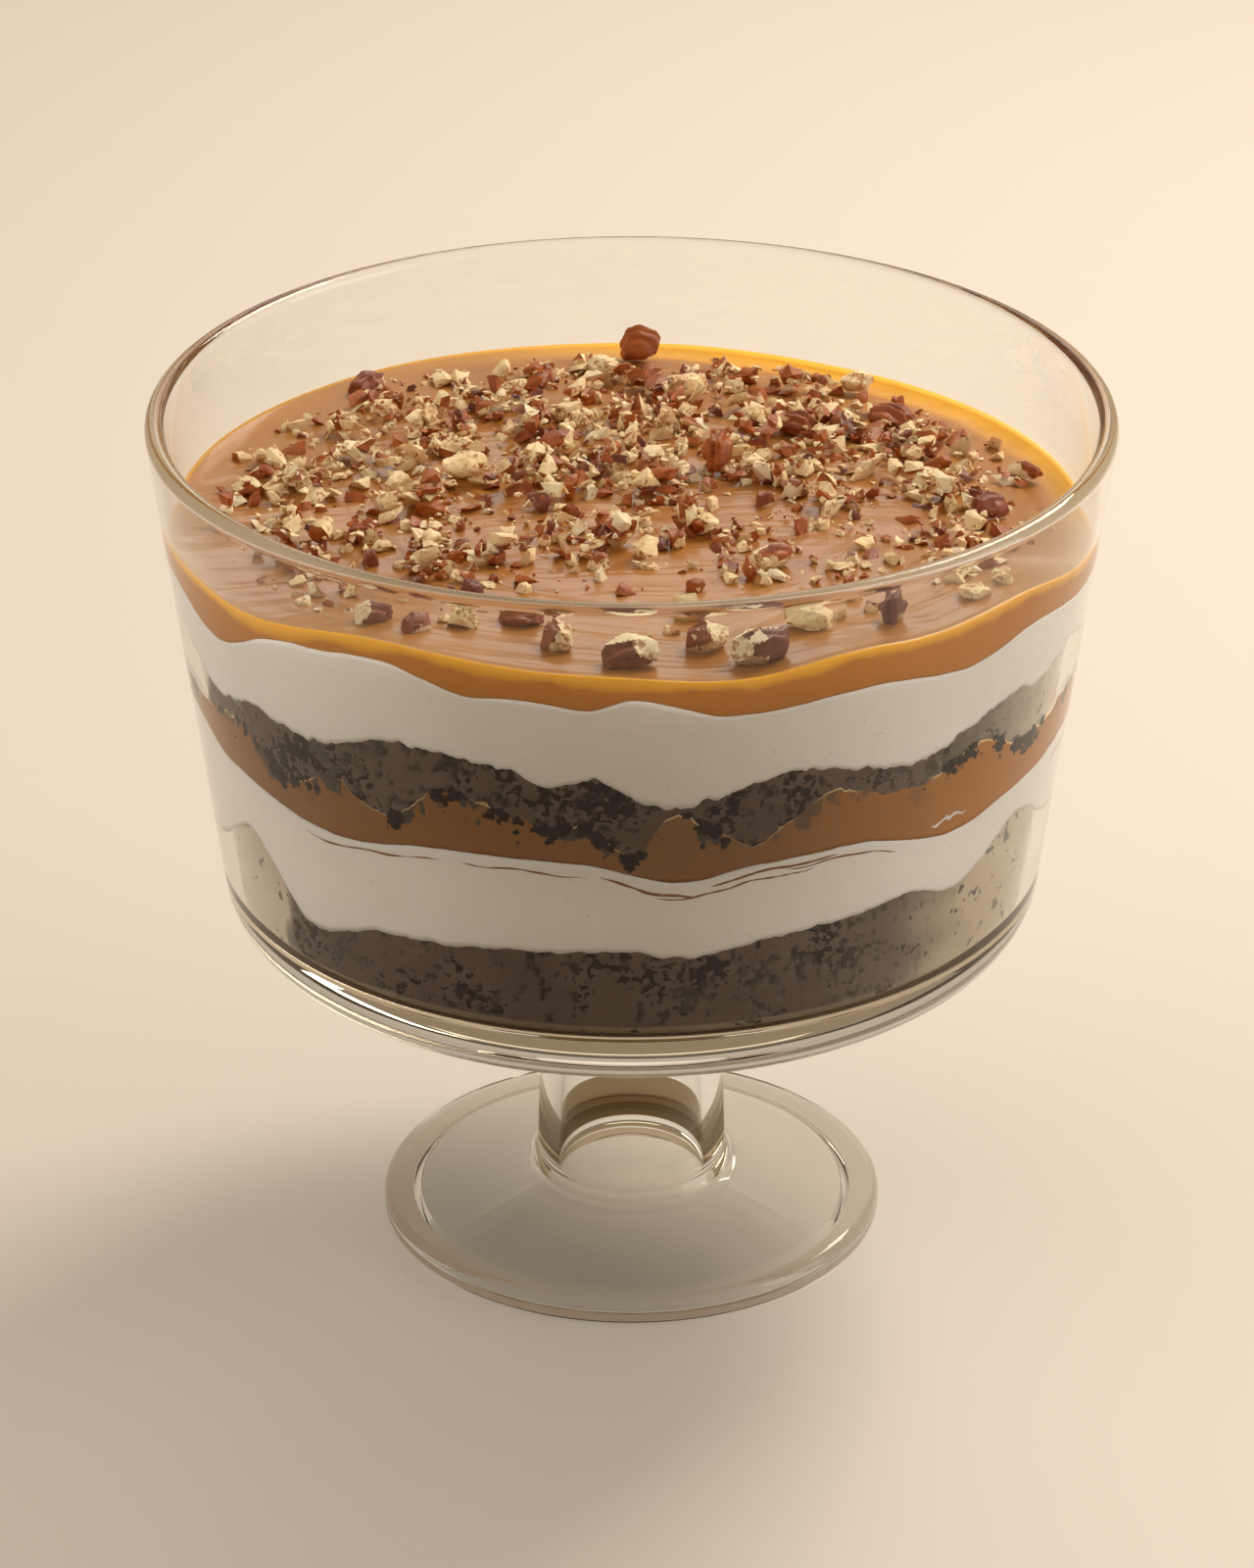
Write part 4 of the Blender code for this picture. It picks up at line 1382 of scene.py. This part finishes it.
def scatter(name, count, sizes, skew, corners, cuts, seed):
    """Scatters shards between two sizes; a higher skew makes more of the small ones."""
    draw = random.Random(seed)
    parts = []
    while len(parts) < count:
        size = sizes[0] + (sizes[1] - sizes[0]) * draw.random() ** skew
        radius, angle = NUT_REACH * math.sqrt(draw.random()), draw.uniform(0, math.tau)
        x, y = radius * math.cos(angle), radius * math.sin(angle)
        if draw.random() < how_thick(x, y):
            parts.append(shard(draw, size, x, y, corners, cuts))
    nut_object(name, parts)


scatter("nut_shards", 800, (0.0044, 0.0100), 1.3, 10, 2, 29)
scatter("nut_crumbs", 1300, (0.0014, 0.0038), 1.5, 9, 0, 31)
scatter("nut_dust", 1000, (0.0005, 0.0013), 1.2, 5, 0, 37)

# %% [markdown]
# Brownie crumbs that sank into the middle caramel show as dark specks under the ragged edge. They are
# grains flattened against the wall, each a little prouder than the caramel around it.

# %% Brownie crumbs in the caramel
CLUMPS = 70
CRUMBS_IN_CLUMP = 11
LONE_CRUMBS = 150
CRUMB_PROUD = 0.00008


def sunk_crumb(draw, azimuth, height, size):
    """A grain pressed to the glass at an azimuth and height."""
    angle = math.radians(azimuth)
    out = Vector((math.sin(angle), -math.cos(angle), 0))
    centre = out * (inner_radius(height) - 0.25 * size) + Vector((0, 0, height))
    directions, faces = BALLS[2]
    places = []
    shift = Vector((draw.uniform(0, 50), 0, 0))
    for direction in directions:
        spot = centre + direction * size * (1 + 0.8 * noise.noise(direction * 1.6 + shift))
        reach = math.hypot(spot.x, spot.y)
        limit = inner_radius(spot.z) + INTO_GLASS + CRUMB_PROUD
        if reach > limit:
            spot = Vector((spot.x * limit / reach, spot.y * limit / reach, spot.z))
        places.append(spot)
    return places, faces


def crumb_places(draw):
    """Azimuth, height and size of each grain: clumps along the ragged edge, and a few strays."""
    found = []
    for _ in range(CLUMPS):
        azimuth, spread = draw.uniform(-180, 180), draw.uniform(0.5, 1.5)
        for _ in range(draw.randint(4, CRUMBS_IN_CLUMP * 2 - 4)):
            here = azimuth + draw.gauss(0, spread)
            edge = float(along_edge(TOP_LINES["caramel_middle"], here))
            found.append((here, edge + 0.0006 - abs(draw.gauss(0, 0.0017)), draw.uniform(0.0007, 0.0015)))
    for _ in range(LONE_CRUMBS):
        azimuth = draw.uniform(-180, 180)
        edge = float(along_edge(TOP_LINES["caramel_middle"], azimuth))
        found.append((azimuth, edge - draw.uniform(0.0, 0.006), draw.uniform(0.0002, 0.0006)))
    return found


def sunk_crumbs():
    draw = random.Random(71)
    parts = [sunk_crumb(draw, azimuth, height, size) for azimuth, height, size in crumb_places(draw)]
    mesh = new_mesh("brownie_crumbs", *joined(parts), BROWNIE)
    # With both values at 0 these grains take the brownie's near-black pit colour, which is painted shade.
    for label in ("touch", "pale_mirror"):
        set_values(mesh, label, np.zeros(len(mesh.vertices)))
    return mesh


add_piece(sunk_crumbs(), "brownie")

# %% [markdown]
# The spoon that spread the lower cream dragged some caramel into it. It shows as thin streaks on the
# glass, just under the caramel and nearly level. On the right a little cream was dragged up into the
# caramel in the same way. Each streak is a flat ribbon that tapers to both ends.

# %% Streaks on the glass
STREAKS = (  # from and to which azimuth, the depth there, half the height
    (-47, -25, 0.0022, 0.0030, 0.00028), (-22, -6, 0.0030, 0.0034, 0.00024),
    (-4, 8, 0.0026, 0.0042, 0.00060), (3, 17, 0.0046, 0.0040, 0.00030),
    (10, 27, 0.0024, 0.0018, 0.00050), (20, 36, 0.0026, 0.0030, 0.00026),
    (14, 24, 0.0042, 0.0038, 0.00020), (120, 145, 0.0040, 0.0060, 0.00035),
    (-150, -120, 0.0050, 0.0035, 0.00040), (70, 92, 0.0050, 0.0030, 0.00030))
SUNK_CREAM = ((41.5, 46.5, -0.0030, -0.0048, 0.00060), (44, 48, -0.0052, -0.0040, 0.00030))
STREAK_STEPS = 60
STREAK_SIDES = 10
STREAK_PROUD = 0.00005
STREAK_WAVER = 0.0009


def streak(line, seed, start, end, depth_start, depth_end, half):
    """A ribbon on the glass between two azimuths, at two depths under a layer's edge."""
    places, faces = [], []
    for step in range(STREAK_STEPS + 1):
        share = step / STREAK_STEPS
        azimuth = start + (end - start) * share
        angle = math.radians(azimuth)
        out = Vector((math.sin(angle), -math.cos(angle), 0))
        depth = depth_start + (depth_end - depth_start) * share
        depth += STREAK_WAVER * noise.noise(Vector((share * 3.1, seed, 0)))
        height = float(along_edge(line, azimuth)) - depth
        swell = 1 + 1.1 * noise.noise(Vector((share * 7, seed, 4)))
        thick = half * (math.sin(math.pi * share) ** 0.6 + 0.02) * swell
        for side in range(STREAK_SIDES):
            turn = math.tau * side / STREAK_SIDES
            z = height + thick * math.sin(turn)
            reach = inner_radius(z) + INTO_GLASS + STREAK_PROUD + thick * 0.3 * (math.cos(turn) - 1)
            places.append(out * reach + Vector((0, 0, z)))
    for step in range(STREAK_STEPS):
        for side in range(STREAK_SIDES):
            a, b = step * STREAK_SIDES, (step + 1) * STREAK_SIDES
            after = (side + 1) % STREAK_SIDES
            faces.append([a + side, b + side, b + after, a + after])
    last = STREAK_STEPS * STREAK_SIDES
    faces.append(list(range(STREAK_SIDES)))
    faces.append(list(range(last, last + STREAK_SIDES))[::-1])
    return places, faces


def ribbons(name, line, shapes, finish, slot):
    """One piece of ribbons that lie on the glass."""
    parts = [streak(line, seed, *shape) for seed, shape in enumerate(shapes)]
    mesh = new_mesh(name, *joined(parts), finish)
    turn_outwards(mesh)
    return add_piece(mesh, slot)


ribbons("caramel_streaks", TOP_LINES["cream_lower"], STREAKS, SHADED_CARAMEL, "caramel")
ribbons("cream_streak", TOP_LINES["cream_lower"], SUNK_CREAM, CREAM, "cream")
